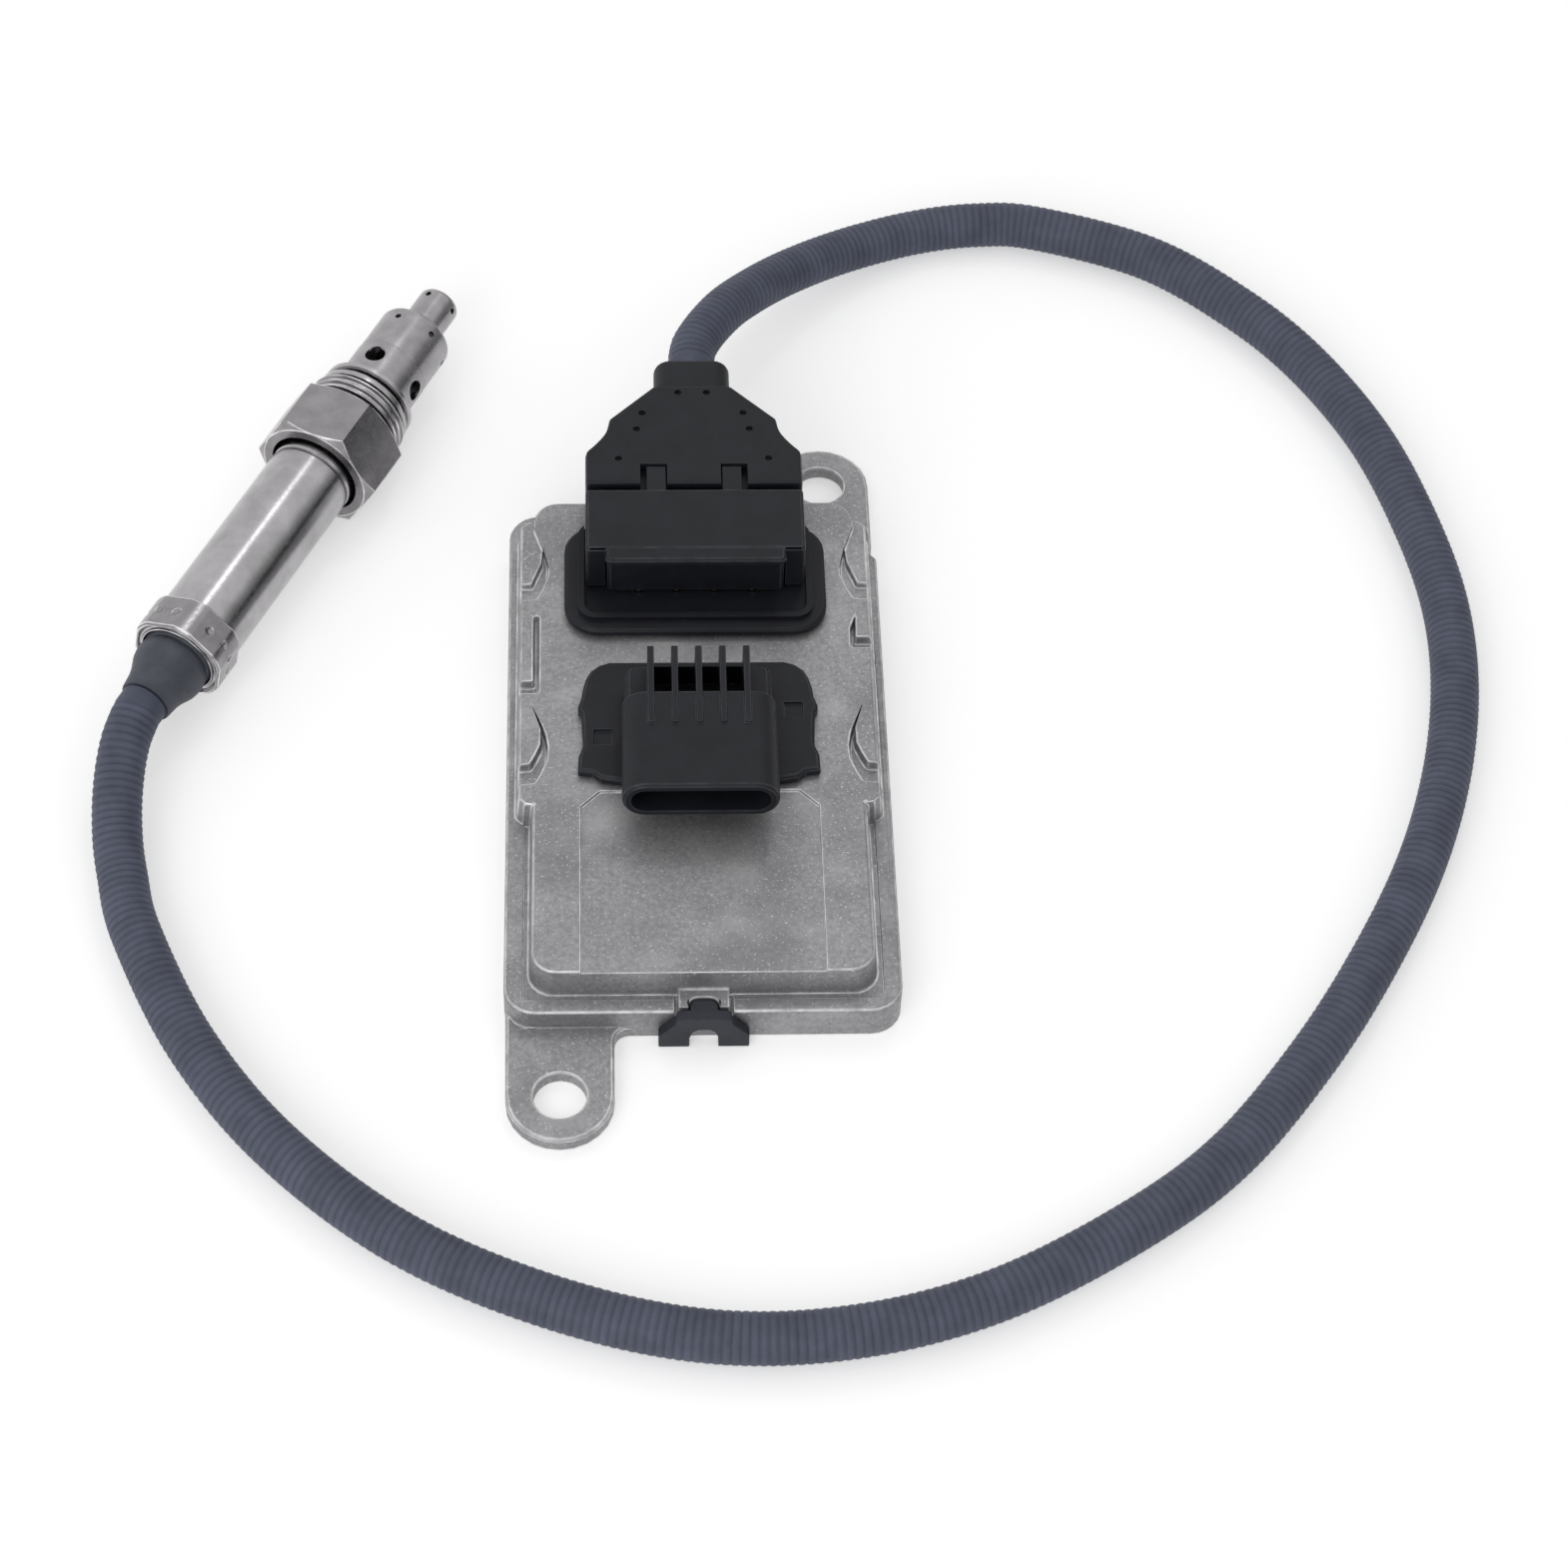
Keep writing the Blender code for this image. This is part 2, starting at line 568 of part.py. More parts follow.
def housing():
    """The die-cast body: two tiers, ears, side trenches, label recess and a hollow inside."""
    body = prism("housing_casting", base_outline(), 0.0, BASE_TOP)
    soften(body, CASTING_EDGE, 2, BASE_TOP)
    place(body, ALUMINIUM)
    groove_width = PLATEAU_HALF_WIDTH + FOOT_GROOVE_WIDTH
    groove = block(
        "foot_groove",
        (-groove_width, PLATEAU_FRONT - FOOT_GROOVE_WIDTH, BASE_TOP - FOOT_GROOVE_DEPTH),
        (groove_width, SHELF_FRONT + SHELF_CORNER, BASE_TOP + WALL),
    )
    cut(body, groove)
    plateau = prism("plateau", plateau_outline(), BASE_TOP - WALL / 2, PLATEAU_TOP)
    for vertex in plateau.data.vertices:
        if vertex.co.z > BASE_TOP:
            vertex.co.x *= 1 - CASTING_DRAFT / SHELF_HALF_WIDTH
            vertex.co.y *= 1 - CASTING_DRAFT / PLATEAU_FAR
    soften(plateau, CASTING_EDGE, 2, PLATEAU_TOP)
    join_shape(body, plateau)
    for number, (x, hole_y) in enumerate(((-EAR_OFFSET, -EAR_HOLE_FRONT), (EAR_OFFSET, EAR_HOLE_FAR))):
        root_y = math.copysign(BASE_HALF_LENGTH - 2 * WALL, hole_y)
        ear = prism(f"ear_{number}", ear_outline(x, hole_y, root_y), 0.0, EAR_THICKNESS)
        soften(ear, CASTING_EDGE / 2, 1, EAR_THICKNESS)
        join_shape(body, ear)
        hole = rod(f"ear_hole_{number}", EAR_HOLE_RADIUS, -WALL, EAR_THICKNESS + WALL, 28)
        hole.location = (x, hole_y, 0)
        cut(body, hole)
    label = prism(
        "label_recess",
        [
            (-LABEL_HALF_WIDTH, PLATEAU_FRONT - WALL),
            (LABEL_HALF_WIDTH, PLATEAU_FRONT - WALL),
            (LABEL_HALF_WIDTH, LABEL_FAR - LABEL_CORNER),
            (LABEL_HALF_WIDTH - LABEL_CORNER, LABEL_FAR),
            (LABEL_CORNER - LABEL_HALF_WIDTH, LABEL_FAR),
            (-LABEL_HALF_WIDTH, LABEL_FAR - LABEL_CORNER),
        ],
        PLATEAU_TOP - LABEL_DEPTH,
        PLATEAU_TOP + WALL,
    )
    cut(body, label)
    for side in (-1, 1):
        cut(body, side_cut(f"upper_pad_{side}", side, UPPER_PAD, PAD_TOP))
        cut(body, side_cut(f"upper_trench_{side}", side, UPPER_TRENCH, TRENCH_FLOOR))
        cut(body, side_cut(f"lower_trench_{side}", side, LOWER_TRENCH, TRENCH_FLOOR))
    cut(body, side_cut("left_slot", -1, LEFT_SLOT, TRENCH_FLOOR))
    cut(body, side_cut("right_slot", 1, RIGHT_SLOT, TRENCH_FLOOR))
    clip_seat(body)
    hollow_housing(body)
    return body


def clip_seat(body):
    """The raised tab on the front ledge, between two grooves, with an arch for the clip's head."""
    pocket = block(
        "tab_pocket",
        (-TAB_WIDTH / 2 - TAB_GROOVE, -BASE_HALF_LENGTH - WALL, BASE_TOP - 2 * TAB_GROOVE),
        (TAB_WIDTH / 2 + TAB_GROOVE, PLATEAU_FRONT - GAP, BASE_TOP + WALL),
    )
    cut(body, pocket)
    tab = block(
        "clip_tab",
        (-TAB_WIDTH / 2, GAP - BASE_HALF_LENGTH, NOTCH_FLOOR - GAP),
        (TAB_WIDTH / 2, PLATEAU_FRONT + TAB_GROOVE, TAB_TOP),
    )
    join_shape(body, tab)
    arch = rounded_box(
        -ARCH_HALF_WIDTH,
        ARCH_HALF_WIDTH,
        -BASE_HALF_LENGTH - 2 * WALL,
        ARCH_DEPTH - BASE_HALF_LENGTH,
        ARCH_CORNER,
        4,
    )
    cut(body, prism("clip_arch", arch, NOTCH_FLOOR, TAB_TOP + WALL))


def hollow_housing(body):
    """Cut the inside, leave the bosses, and open the two windows in the roof."""
    half_width = BASE_HALF_WIDTH - RIM_WALL
    half_length = BASE_HALF_LENGTH - RIM_WALL
    seat = PLATE_THICKNESS + SEAL_THICKNESS + 2 * GAP
    rebate = prism(
        "plate_rebate",
        rounded_box(-half_width, half_width, -half_length, half_length, BASE_CORNER - RIM_WALL / 2),
        -WALL,
        seat,
    )
    cut(body, rebate)
    step = SEAL_WIDTH + 2 * GAP
    room = prism(
        "lower_room",
        rounded_box(
            step - half_width, half_width - step, step - half_length, half_length - step, PLATEAU_CORNER
        ),
        -WALL,
        NOTCH_FLOOR - WALL / 2,
    )
    cut(body, room)
    upper = prism(
        "upper_room",
        rounded_box(
            -ROOM_HALF_WIDTH,
            ROOM_HALF_WIDTH,
            PLATEAU_FRONT + WALL,
            PLATEAU_FAR - WALL,
            PLATEAU_CORNER - WALL,
        ),
        0.0,
        PLATEAU_TOP - WALL,
    )
    cut(body, upper)
    boss_foot = BOARD_LOW + BOARD_THICKNESS + GAP
    for index, (x, y) in enumerate(corners(BOARD_BOSS_X, BOARD_BOSS_Y)):
        boss = rod(f"board_boss_{index}", BOARD_BOSS_RADIUS, boss_foot, PLATEAU_TOP - WALL / 2, 16)
        boss.location = (x, y, 0)
        join_shape(body, boss)
        bore = rod(
            f"board_boss_bore_{index}",
            SCREW_RADIUS + GAP,
            boss_foot - WALL,
            boss_foot + BOARD_SCREW_LENGTH - BOARD_THICKNESS,
            12,
        )
        bore.location = (x, y, 0)
        cut(body, bore)
    for index, (x, y) in enumerate(corners(COVER_BOSS_X, COVER_BOSS_Y)):
        boss = rod(f"cover_boss_{index}", COVER_BOSS_RADIUS, PLATE_THICKNESS + GAP, BASE_TOP - GAP, 16)
        boss.location = (x, y, 0)
        join_shape(body, boss)
        bore = rod(f"cover_boss_bore_{index}", SCREW_RADIUS + GAP, 0.0, BASE_TOP - WALL / 2, 12)
        bore.location = (x, y, 0)
        cut(body, bore)
    cut(body, window("connector_window", INSERT_HALF_WIDTH, INSERT_FRONT, INSERT_FAR))
    cut(body, window("header_window", HEADER_INSERT_HALF_WIDTH, HEADER_INSERT_FRONT, HEADER_INSERT_FAR))


def window(name, half_width, front, far):
    """The opening in the housing roof round an insert and its seal."""
    outline = rounded_box(
        -half_width - WINDOW_MARGIN,
        half_width + WINDOW_MARGIN,
        front - WINDOW_MARGIN,
        far + WINDOW_MARGIN,
        INSERT_CORNER + WINDOW_MARGIN,
        4,
    )
    return prism(name, outline, PLATEAU_TOP - 2 * WALL, PLATEAU_TOP + WALL)


def corners(x, y):
    """The four places at plus and minus x and y."""
    return [(x, y), (-x, y), (-x, -y), (x, -y)]


def base_parts():
    """The base plate, its seal and its four countersunk screws."""
    half_width = BASE_HALF_WIDTH - RIM_WALL - GAP
    half_length = BASE_HALF_LENGTH - RIM_WALL - GAP
    corner = BASE_CORNER - RIM_WALL / 2
    plate = prism(
        "base_plate",
        rounded_box(-half_width, half_width, -half_length, half_length, corner),
        0.0,
        PLATE_THICKNESS,
    )
    place(plate, PLATE_METAL)
    seal_low = PLATE_THICKNESS + GAP
    seal = prism(
        "base_seal",
        rounded_box(-half_width, half_width, -half_length, half_length, corner),
        seal_low,
        seal_low + SEAL_THICKNESS,
    )
    inside = prism(
        "base_seal_inside",
        rounded_box(
            SEAL_WIDTH - half_width,
            half_width - SEAL_WIDTH,
            SEAL_WIDTH - half_length,
            half_length - SEAL_WIDTH,
            corner - SEAL_WIDTH / 2,
        ),
        0.0,
        seal_low + SEAL_THICKNESS + WALL,
    )
    cut(place(seal, SILICONE), inside)
    for index, (x, y) in enumerate(corners(COVER_BOSS_X, COVER_BOSS_Y)):
        sink = turned(
            f"plate_sink_{index}",
            [
                (0.0, PLATE_THICKNESS + WALL),
                (SCREW_RADIUS + GAP, PLATE_THICKNESS + WALL),
                (SCREW_RADIUS + GAP, SCREW_HEAD_HEIGHT),
                (SCREW_HEAD_RADIUS + GAP, 0.0),
                (SCREW_HEAD_RADIUS + GAP, -WALL),
                (0.0, -WALL),
            ],
            16,
        )
        sink.location = (x, y, 0)
        cut(plate, sink)
        screw = turned(
            f"cover_screw_{index + 1}",
            [
                (0.0, COVER_SCREW_LENGTH - WALL),
                (SCREW_RADIUS, COVER_SCREW_LENGTH - WALL),
                (SCREW_RADIUS, SCREW_HEAD_HEIGHT),
                (SCREW_HEAD_RADIUS, GAP / 2),
                (0.0, GAP / 2),
            ],
            16,
        )
        screw.location = (x, y, 0)
        place(screw, ZINC)


def board_parts():
    """The circuit board, its screws and the larger components."""
    board_top = BOARD_LOW + BOARD_THICKNESS
    board = prism(
        "circuit_board",
        rounded_box(
            -BOARD_HALF_WIDTH, BOARD_HALF_WIDTH, -BOARD_HALF_LENGTH, BOARD_HALF_LENGTH, PLATEAU_CORNER / 2, 3
        ),
        BOARD_LOW,
        board_top,
    )
    place(board, LAMINATE)
    for index, (x, y) in enumerate(corners(BOARD_BOSS_X, BOARD_BOSS_Y)):
        hole = rod(f"board_hole_{index}", SCREW_RADIUS + GAP, 0.0, board_top + WALL, 12)
        hole.location = (x, y, 0)
        cut(board, hole)
        head_top = BOARD_LOW - GAP
        screw = turned(
            f"board_screw_{index + 1}",
            [
                (0.0, head_top + BOARD_SCREW_LENGTH),
                (SCREW_RADIUS, head_top + BOARD_SCREW_LENGTH),
                (SCREW_RADIUS, head_top),
                (SCREW_HEAD_RADIUS, head_top),
                (SCREW_HEAD_RADIUS, head_top - SCREW_HEAD_HEIGHT),
                (0.0, head_top - SCREW_HEAD_HEIGHT),
            ],
            12,
        )
        screw.location = (x, y, 0)
        place(screw, ZINC)
    for index, (x, y) in enumerate(pin_places() + header_pin_places()):
        hole = rod(f"board_pin_hole_{index}", 1.5 * PIN_RADIUS + GAP, 0.0, board_top + WALL, 6)
        hole.location = (x, y, 0)
        cut(board, hole)
    low = board_top + GAP
    side = BOARD_HALF_WIDTH / MM
    front = -BOARD_HALF_LENGTH / MM
    near_header = HEADER_INSERT_FRONT / MM
    chips = (
        ("microcontroller", (19.4 - side, front + 18.5), (12.0, 12.0), CHIP_HEIGHT),
        ("heater_driver", (side - 13.4, front + 20.5), (7.0, 9.0), 1.5 * CHIP_HEIGHT),
        ("bus_transceiver", (6.4 - side, front + 32.5), (4.0, 5.0), CHIP_HEIGHT),
        ("signal_amplifier", (11.4 - side, near_header - 9.5), (6.0, 5.0), CHIP_HEIGHT),
        ("smoothing_inductor", (side - 11.4, near_header - 9.0), (7.0, 7.0), 2 * CHIP_HEIGHT),
    )
    for name, (x, y), (width, length), height in chips:
        chip = block(
            name,
            (x * MM - width * MM / 2, y * MM - length * MM / 2, low),
            (x * MM + width * MM / 2, y * MM + length * MM / 2, low + height),
        )
        place(chip, CHIP)


def pin_places():
    """Where the vehicle connector's pins go down to the board."""
    first = -PIN_PITCH * (PIN_COUNT - 1) / 2
    return [(first + PIN_PITCH * index, PIN_BEND_Y) for index in range(PIN_COUNT)]


def header_pin_places():
    """Where the sensor header's two rows of pins stand."""
    first = -HEADER_PIN_PITCH * (HEADER_PIN_COLUMNS - 1) / 2
    middle = (HEADER_INSERT_FRONT + HEADER_INSERT_FAR) / 2
    rows = (middle - HEADER_PIN_ROW_GAP / 2, middle + HEADER_PIN_ROW_GAP / 2)
    return [(first + HEADER_PIN_PITCH * index, row) for row in rows for index in range(HEADER_PIN_COLUMNS)]


def bent_pin(name, x, grow):
    """One square connector pin, bent down to the board, or its bore when grown."""
    half = PIN_RADIUS + grow
    height = (BARREL_LOW + BARREL_HIGH) / 2
    tip = BARREL_MOUTH + SOCKET_DEPTH - PIN_REACH - grow
    foot = BOARD_LOW - PIN_TAIL - grow
    outline = [(tip, height - half), (tip, height + half), (PIN_BEND_Y + half, height + half)]
    outline += [(PIN_BEND_Y + half, foot), (PIN_BEND_Y - half, foot), (PIN_BEND_Y - half, height - half)]
    return prism(name, outline, x - half, x + half, along="X")


def insert_block(name, half_width, front, far, top):
    """The part of a connector that goes down through the housing roof."""
    outline = rounded_box(-half_width, half_width, front, far, INSERT_CORNER, 4)
    return prism(name, outline, PLATEAU_TOP + GAP - INSERT_DROP, top)


def insert_seal(name, half_width, front, far):
    """The rubber ring between an insert and its window."""
    reach = WINDOW_MARGIN - GAP
    outer = rounded_box(
        -half_width - reach, half_width + reach, front - reach, far + reach, INSERT_CORNER + reach, 4
    )
    seal = prism(name, outer, PLATEAU_TOP - WALL, PLATEAU_TOP)
    inner = rounded_box(-half_width - GAP, half_width + GAP, front - GAP, far + GAP, INSERT_CORNER + GAP, 4)
    cut(seal, prism(name + "_inside", inner, PLATEAU_TOP - 2 * WALL, PLATEAU_TOP + WALL))
    return place(seal, SILICONE)


def vehicle_connector():
    """The moulded connector: flange, barrel with its socket, fins and pins."""
    low = PLATEAU_TOP + GAP
    high = low + FLANGE_THICKNESS
    half = [(FLANGE_HALF_WIDTH - x * MM, FLANGE_FAR - y * MM) for x, y in FLANGE_OUTLINE]
    shell = prism("connector_shell", mirrored(half), low, high)
    soften(shell, FLANGE_EDGE, 1, high)
    place(shell, PLASTIC)
    for side, y in ((-1, KEY_RECESS_LEFT_Y), (1, KEY_RECESS_RIGHT_Y)):
        recess = block(
            f"key_recess_{side}",
            (side * KEY_RECESS_X - KEY_RECESS / 2, y - KEY_RECESS / 2, high - KEY_RECESS_DEPTH),
            (side * KEY_RECESS_X + KEY_RECESS / 2, y + KEY_RECESS / 2, high + WALL),
        )
        cut(shell, recess)
    pedestal = prism(
        "pedestal",
        rounded_box(
            -PEDESTAL_HALF_WIDTH, PEDESTAL_HALF_WIDTH, PEDESTAL_FRONT, PEDESTAL_FAR, INSERT_CORNER, 3
        ),
        low + FLANGE_THICKNESS / 2,
        PEDESTAL_TOP,
    )
    join_shape(shell, soften(pedestal, 0.8 * MM, 1, PEDESTAL_TOP))
    barrel = prism(
        "barrel",
        rounded_box(-BARREL_HALF_WIDTH, BARREL_HALF_WIDTH, BARREL_LOW, BARREL_HIGH, BARREL_CORNER, 5),
        BARREL_MOUTH,
        BARREL_REAR,
        along="Y",
    )
    join_shape(shell, soften(barrel, FLANGE_EDGE, 1))
    first = -FIN_PITCH * (FIN_COUNT - 1) / 2
    well = block(
        "pedestal_well",
        (first, BARREL_REAR + WELL_RIM, high + FLANGE_EDGE),
        (-first, PEDESTAL_FAR - WELL_RIM, PEDESTAL_TOP + WALL),
    )
    cut(shell, well)
    for index in range(FIN_COUNT):
        x = first + FIN_PITCH * index
        fin = block(
            f"fin_{index}",
            (x - FIN_THICKNESS / 2, FIN_FRONT, high - FLANGE_THICKNESS / 4),
            (x + FIN_THICKNESS / 2, FIN_FAR, BARREL_HIGH + FIN_RISE),
        )
        join_shape(shell, fin)
    join_shape(
        shell,
        insert_block("connector_insert", INSERT_HALF_WIDTH, INSERT_FRONT, INSERT_FAR, high - 0.4 * MM),
    )
    socket = prism(
        "socket",
        rounded_box(
            BARREL_WALL - BARREL_HALF_WIDTH,
            BARREL_HALF_WIDTH - BARREL_WALL,
            BARREL_LOW + BARREL_WALL,
            BARREL_HIGH - BARREL_WALL,
            BARREL_CORNER - BARREL_WALL,
            5,
        ),
        BARREL_MOUTH - WALL,
        BARREL_MOUTH + SOCKET_DEPTH,
        along="Y",
    )
    cut(shell, socket)
    for index, (x, _) in enumerate(pin_places()):
        cut(shell, bent_pin(f"pin_bore_{index}", x, GAP))
        place(bent_pin(f"connector_pin_{index + 1}", x, 0.0), BRASS)
    insert_seal("connector_seal", INSERT_HALF_WIDTH, INSERT_FRONT, INSERT_FAR)


def sensor_header():
    """The socket frame on the housing that takes the plug, with its pins."""
    low = PLATEAU_TOP + GAP
    high = low + HEADER_THICKNESS
    frame = prism(
        "sensor_header",
        rounded_box(-HEADER_HALF_WIDTH, HEADER_HALF_WIDTH, HEADER_FRONT, HEADER_FAR, HEADER_CORNER),
        low,
        high,
    )
    soften(frame, 0.5 * MM, 1)
    place(frame, PLASTIC)
    rim_half = HOOD_HALF_WIDTH + GAP + HEADER_RIM
    rim_front = HEADER_FRONT + 2 * HEADER_RIM
    rim = prism(
        "header_rim",
        rounded_box(-rim_half, rim_half, rim_front, HEADER_FAR - GAP, HEADER_CORNER / 2, 4),
        high - HEADER_THICKNESS / 2,
        high + HEADER_RIM_RISE,
    )
    join_shape(frame, rim)
    join_shape(
        frame,
        insert_block(
            "header_insert",
            HEADER_INSERT_HALF_WIDTH,
            HEADER_INSERT_FRONT,
            HEADER_INSERT_FAR,
            high - 0.4 * MM,
        ),
    )
    well = prism(
        "header_well",
        rounded_box(
            HEADER_RIM - rim_half,
            rim_half - HEADER_RIM,
            rim_front + HEADER_RIM,
            HEADER_FAR + WALL,
            HEADER_CORNER / 3,
            4,
        ),
        high - 0.4 * MM,
        high + WALL,
    )
    cut(frame, well)
    pin_low = BOARD_LOW - PIN_TAIL
    pin_high = high + HEADER_PIN_RISE
    for index, (x, y) in enumerate(header_pin_places()):
        bore = rod(f"header_bore_{index}", PIN_RADIUS + GAP, 0.0, pin_high, 6)
        bore.location = (x, y, 0)
        cut(frame, bore)
        pin = rod(f"header_pin_{index + 1}", PIN_RADIUS, pin_low, pin_high, 6)
        pin.location = (x, y, 0)
        place(pin, BRASS)
    insert_seal("header_seal", HEADER_INSERT_HALF_WIDTH, HEADER_INSERT_FRONT, HEADER_INSERT_FAR)


def plug():
    """The plug body, the latch cover over it and the hood that takes the cable."""
    floor = PLATEAU_TOP + HEADER_THICKNESS + 2 * GAP
    roof = HOOD_TOP - COVER_ROOF
    body = block(
        "plug_body",
        (GAP - COVER_CAVITY_HALF_WIDTH, PLUG_FRONT, floor),
        (COVER_CAVITY_HALF_WIDTH - GAP, PLUG_FAR, roof - GAP),
    )
    soften(body, 0.6 * MM, 1)
    place(body, PLASTIC)
    for index, (x, y) in enumerate(header_pin_places()):
        bore = rod(f"plug_bore_{index}", PIN_RADIUS + GAP, 0.0, floor + HEADER_PIN_RISE + WALL, 6)
        bore.location = (x, y, 0)
        cut(body, bore)
    latch_cover(floor, roof)
    hood()


def latch_cover(floor, roof):
    """The cover over the plug body, with a lip in front and two fingers behind."""
    far = HOOD_FRONT - 4 * GAP
    cover = prism(
        "latch_cover",
        rounded_box(-HOOD_HALF_WIDTH, HOOD_HALF_WIDTH, COVER_FRONT, far, 0.8 * MM, 3),
        floor,
        HOOD_TOP,
    )
    soften(cover, 0.5 * MM, 1)
    place(cover, PLASTIC)
    lip = prism(
        "cover_lip",
        rounded_box(
            -COVER_CAVITY_HALF_WIDTH, COVER_CAVITY_HALF_WIDTH, COVER_LIP, COVER_FRONT + WALL, 1.2 * MM, 4
        ),
        roof,
        HOOD_TOP - 0.1 * MM,
    )
    join_shape(cover, soften(lip, 0.5 * MM, 1))
    cavity = block(
        "cover_cavity",
        (-COVER_CAVITY_HALF_WIDTH, COVER_FRONT - 3 * WALL, 0.0),
        (COVER_CAVITY_HALF_WIDTH, PLUG_FAR + GAP, roof),
    )
    cut(cover, cavity)
    for side in (-1, 1):
        inner = side * (TAB_HALF_WIDTH + GAP)
        outer = side * FINGER_HALF_GAP
        finger = block(
            f"cover_finger_{side}",
            (min(inner, outer), far - WALL, roof),
            (max(inner, outer), HOOD_FRONT + FINGER_REACH, HOOD_TOP - 0.3 * MM),
        )
        join_shape(cover, finger)


def hood():
    """The moulded hood that turns the wires out into the cable neck."""
    half = [
        (NECK_HALF_WIDTH, HOOD_NECK_START),
        (HOOD_SHOULDER_HALF_WIDTH, HOOD_SHOULDER_HIGH),
        (HOOD_SHOULDER_HALF_WIDTH + 0.3 * MM, HOOD_SHOULDER_LOW),
    ]
    sweep = HOOD_HALF_WIDTH - HOOD_SHOULDER_HALF_WIDTH - 0.3 * MM
    fall = HOOD_SHOULDER_LOW - HOOD_SIDE_END
    for step in range(1, 6):
        part = step / 6
        half.append(
            (
                HOOD_SHOULDER_HALF_WIDTH + 0.3 * MM + sweep * part ** 1.5,
                HOOD_SHOULDER_LOW - fall * part,
            )
        )
    half += [(HOOD_HALF_WIDTH, HOOD_SIDE_END), (HOOD_HALF_WIDTH, HOOD_FRONT)]
    shell = prism("plug_hood", mirrored(half), HOOD_LOW, HOOD_TOP)
    soften(shell, HOOD_EDGE, 2)
    place(shell, PLASTIC)
    neck_high = HOOD_TOP - HOOD_EDGE / 2
    neck = prism(
        "hood_neck",
        rounded_box(-NECK_HALF_WIDTH, NECK_HALF_WIDTH, neck_high - NECK_HEIGHT, neck_high, NECK_CORNER, 5),
        HOOD_SHOULDER_HIGH,
        NECK_END,
        along="Y",
    )
    join_shape(shell, soften(neck, 0.9 * MM, 2))
    roof = HOOD_TOP - COVER_ROOF
    for side in (-1, 1):
        inner = side * TAB_HALF_WIDTH
        outer = side * (FINGER_HALF_GAP + 4 * GAP)
        slot = block(
            f"hood_slot_{side}",
            (min(inner, outer), HOOD_FRONT - WALL, roof - GAP),
            (max(inner, outer), HOOD_FRONT + FINGER_REACH + GAP, HOOD_TOP + WALL),
        )
        cut(shell, slot)
    dimple_places = [(side * x, y) for x, y in HOOD_DIMPLES for side in (-1, 1)]
    for index, (x, y) in enumerate(dimple_places):
        dimple = rod(f"hood_dimple_{index}", DIMPLE_RADIUS, HOOD_TOP - DIMPLE_DEPTH, HOOD_TOP + WALL, 6)
        dimple.location = (x * MM, HOOD_NECK_START - y * MM, 0)
        cut(shell, dimple)


def front_clip():
    """The forked spring clip whose rounded head sits in the arch of the cast tab."""
    shoulder = TAB_TOP - GAP
    half = [
        (ARCH_HALF_WIDTH, TAB_TOP),
        (CLIP_SHOULDER_HALF_WIDTH - GAP, shoulder),
        (CLIP_SHOULDER_HALF_WIDTH, 0.9 * BASE_TOP),
        (CLIP_FOOT_OUTER, CLIP_FOOT_TOP),
        (CLIP_FOOT_OUTER, 0.0),
        (CLIP_FOOT_INNER, 0.0),
        (CLIP_FOOT_INNER, 0.5 * CLIP_CROTCH),
        (0.8 * CLIP_FOOT_INNER, 0.85 * CLIP_CROTCH),
        (0.4 * CLIP_FOOT_INNER, CLIP_CROTCH),
    ]
    back = -BASE_HALF_LENGTH - GAP
    clip = prism("front_clip", mirrored(half), back - CLIP_THICKNESS, back, along="Y")
    place(clip, PLASTIC)
    head = prism(
        "clip_head",
        rounded_box(
            GAP - ARCH_HALF_WIDTH,
            ARCH_HALF_WIDTH - GAP,
            back - 0.7 * CLIP_THICKNESS,
            ARCH_DEPTH - BASE_HALF_LENGTH - GAP,
            ARCH_CORNER - GAP,
            4,
        ),
        NOTCH_FLOOR + GAP,
        TAB_TOP - GAP / 2,
    )
    join_shape(clip, head)


def probe_frame():
    """An empty whose Z axis is the probe's axis and whose Y axis points up."""
    frame = bpy.data.objects.new("probe_axis", None)
    frame.location = (PROBE_X, PROBE_Y, HEX_ACROSS_FLATS / 2)
    frame.rotation_euler = (math.pi / 2, 0, math.pi - PROBE_ANGLE)
    PARTS.objects.link(frame)
    return frame


def on_probe(obj, frame, material=None):
    """Place an object in the probe's own frame."""
    return place(obj, material, frame)


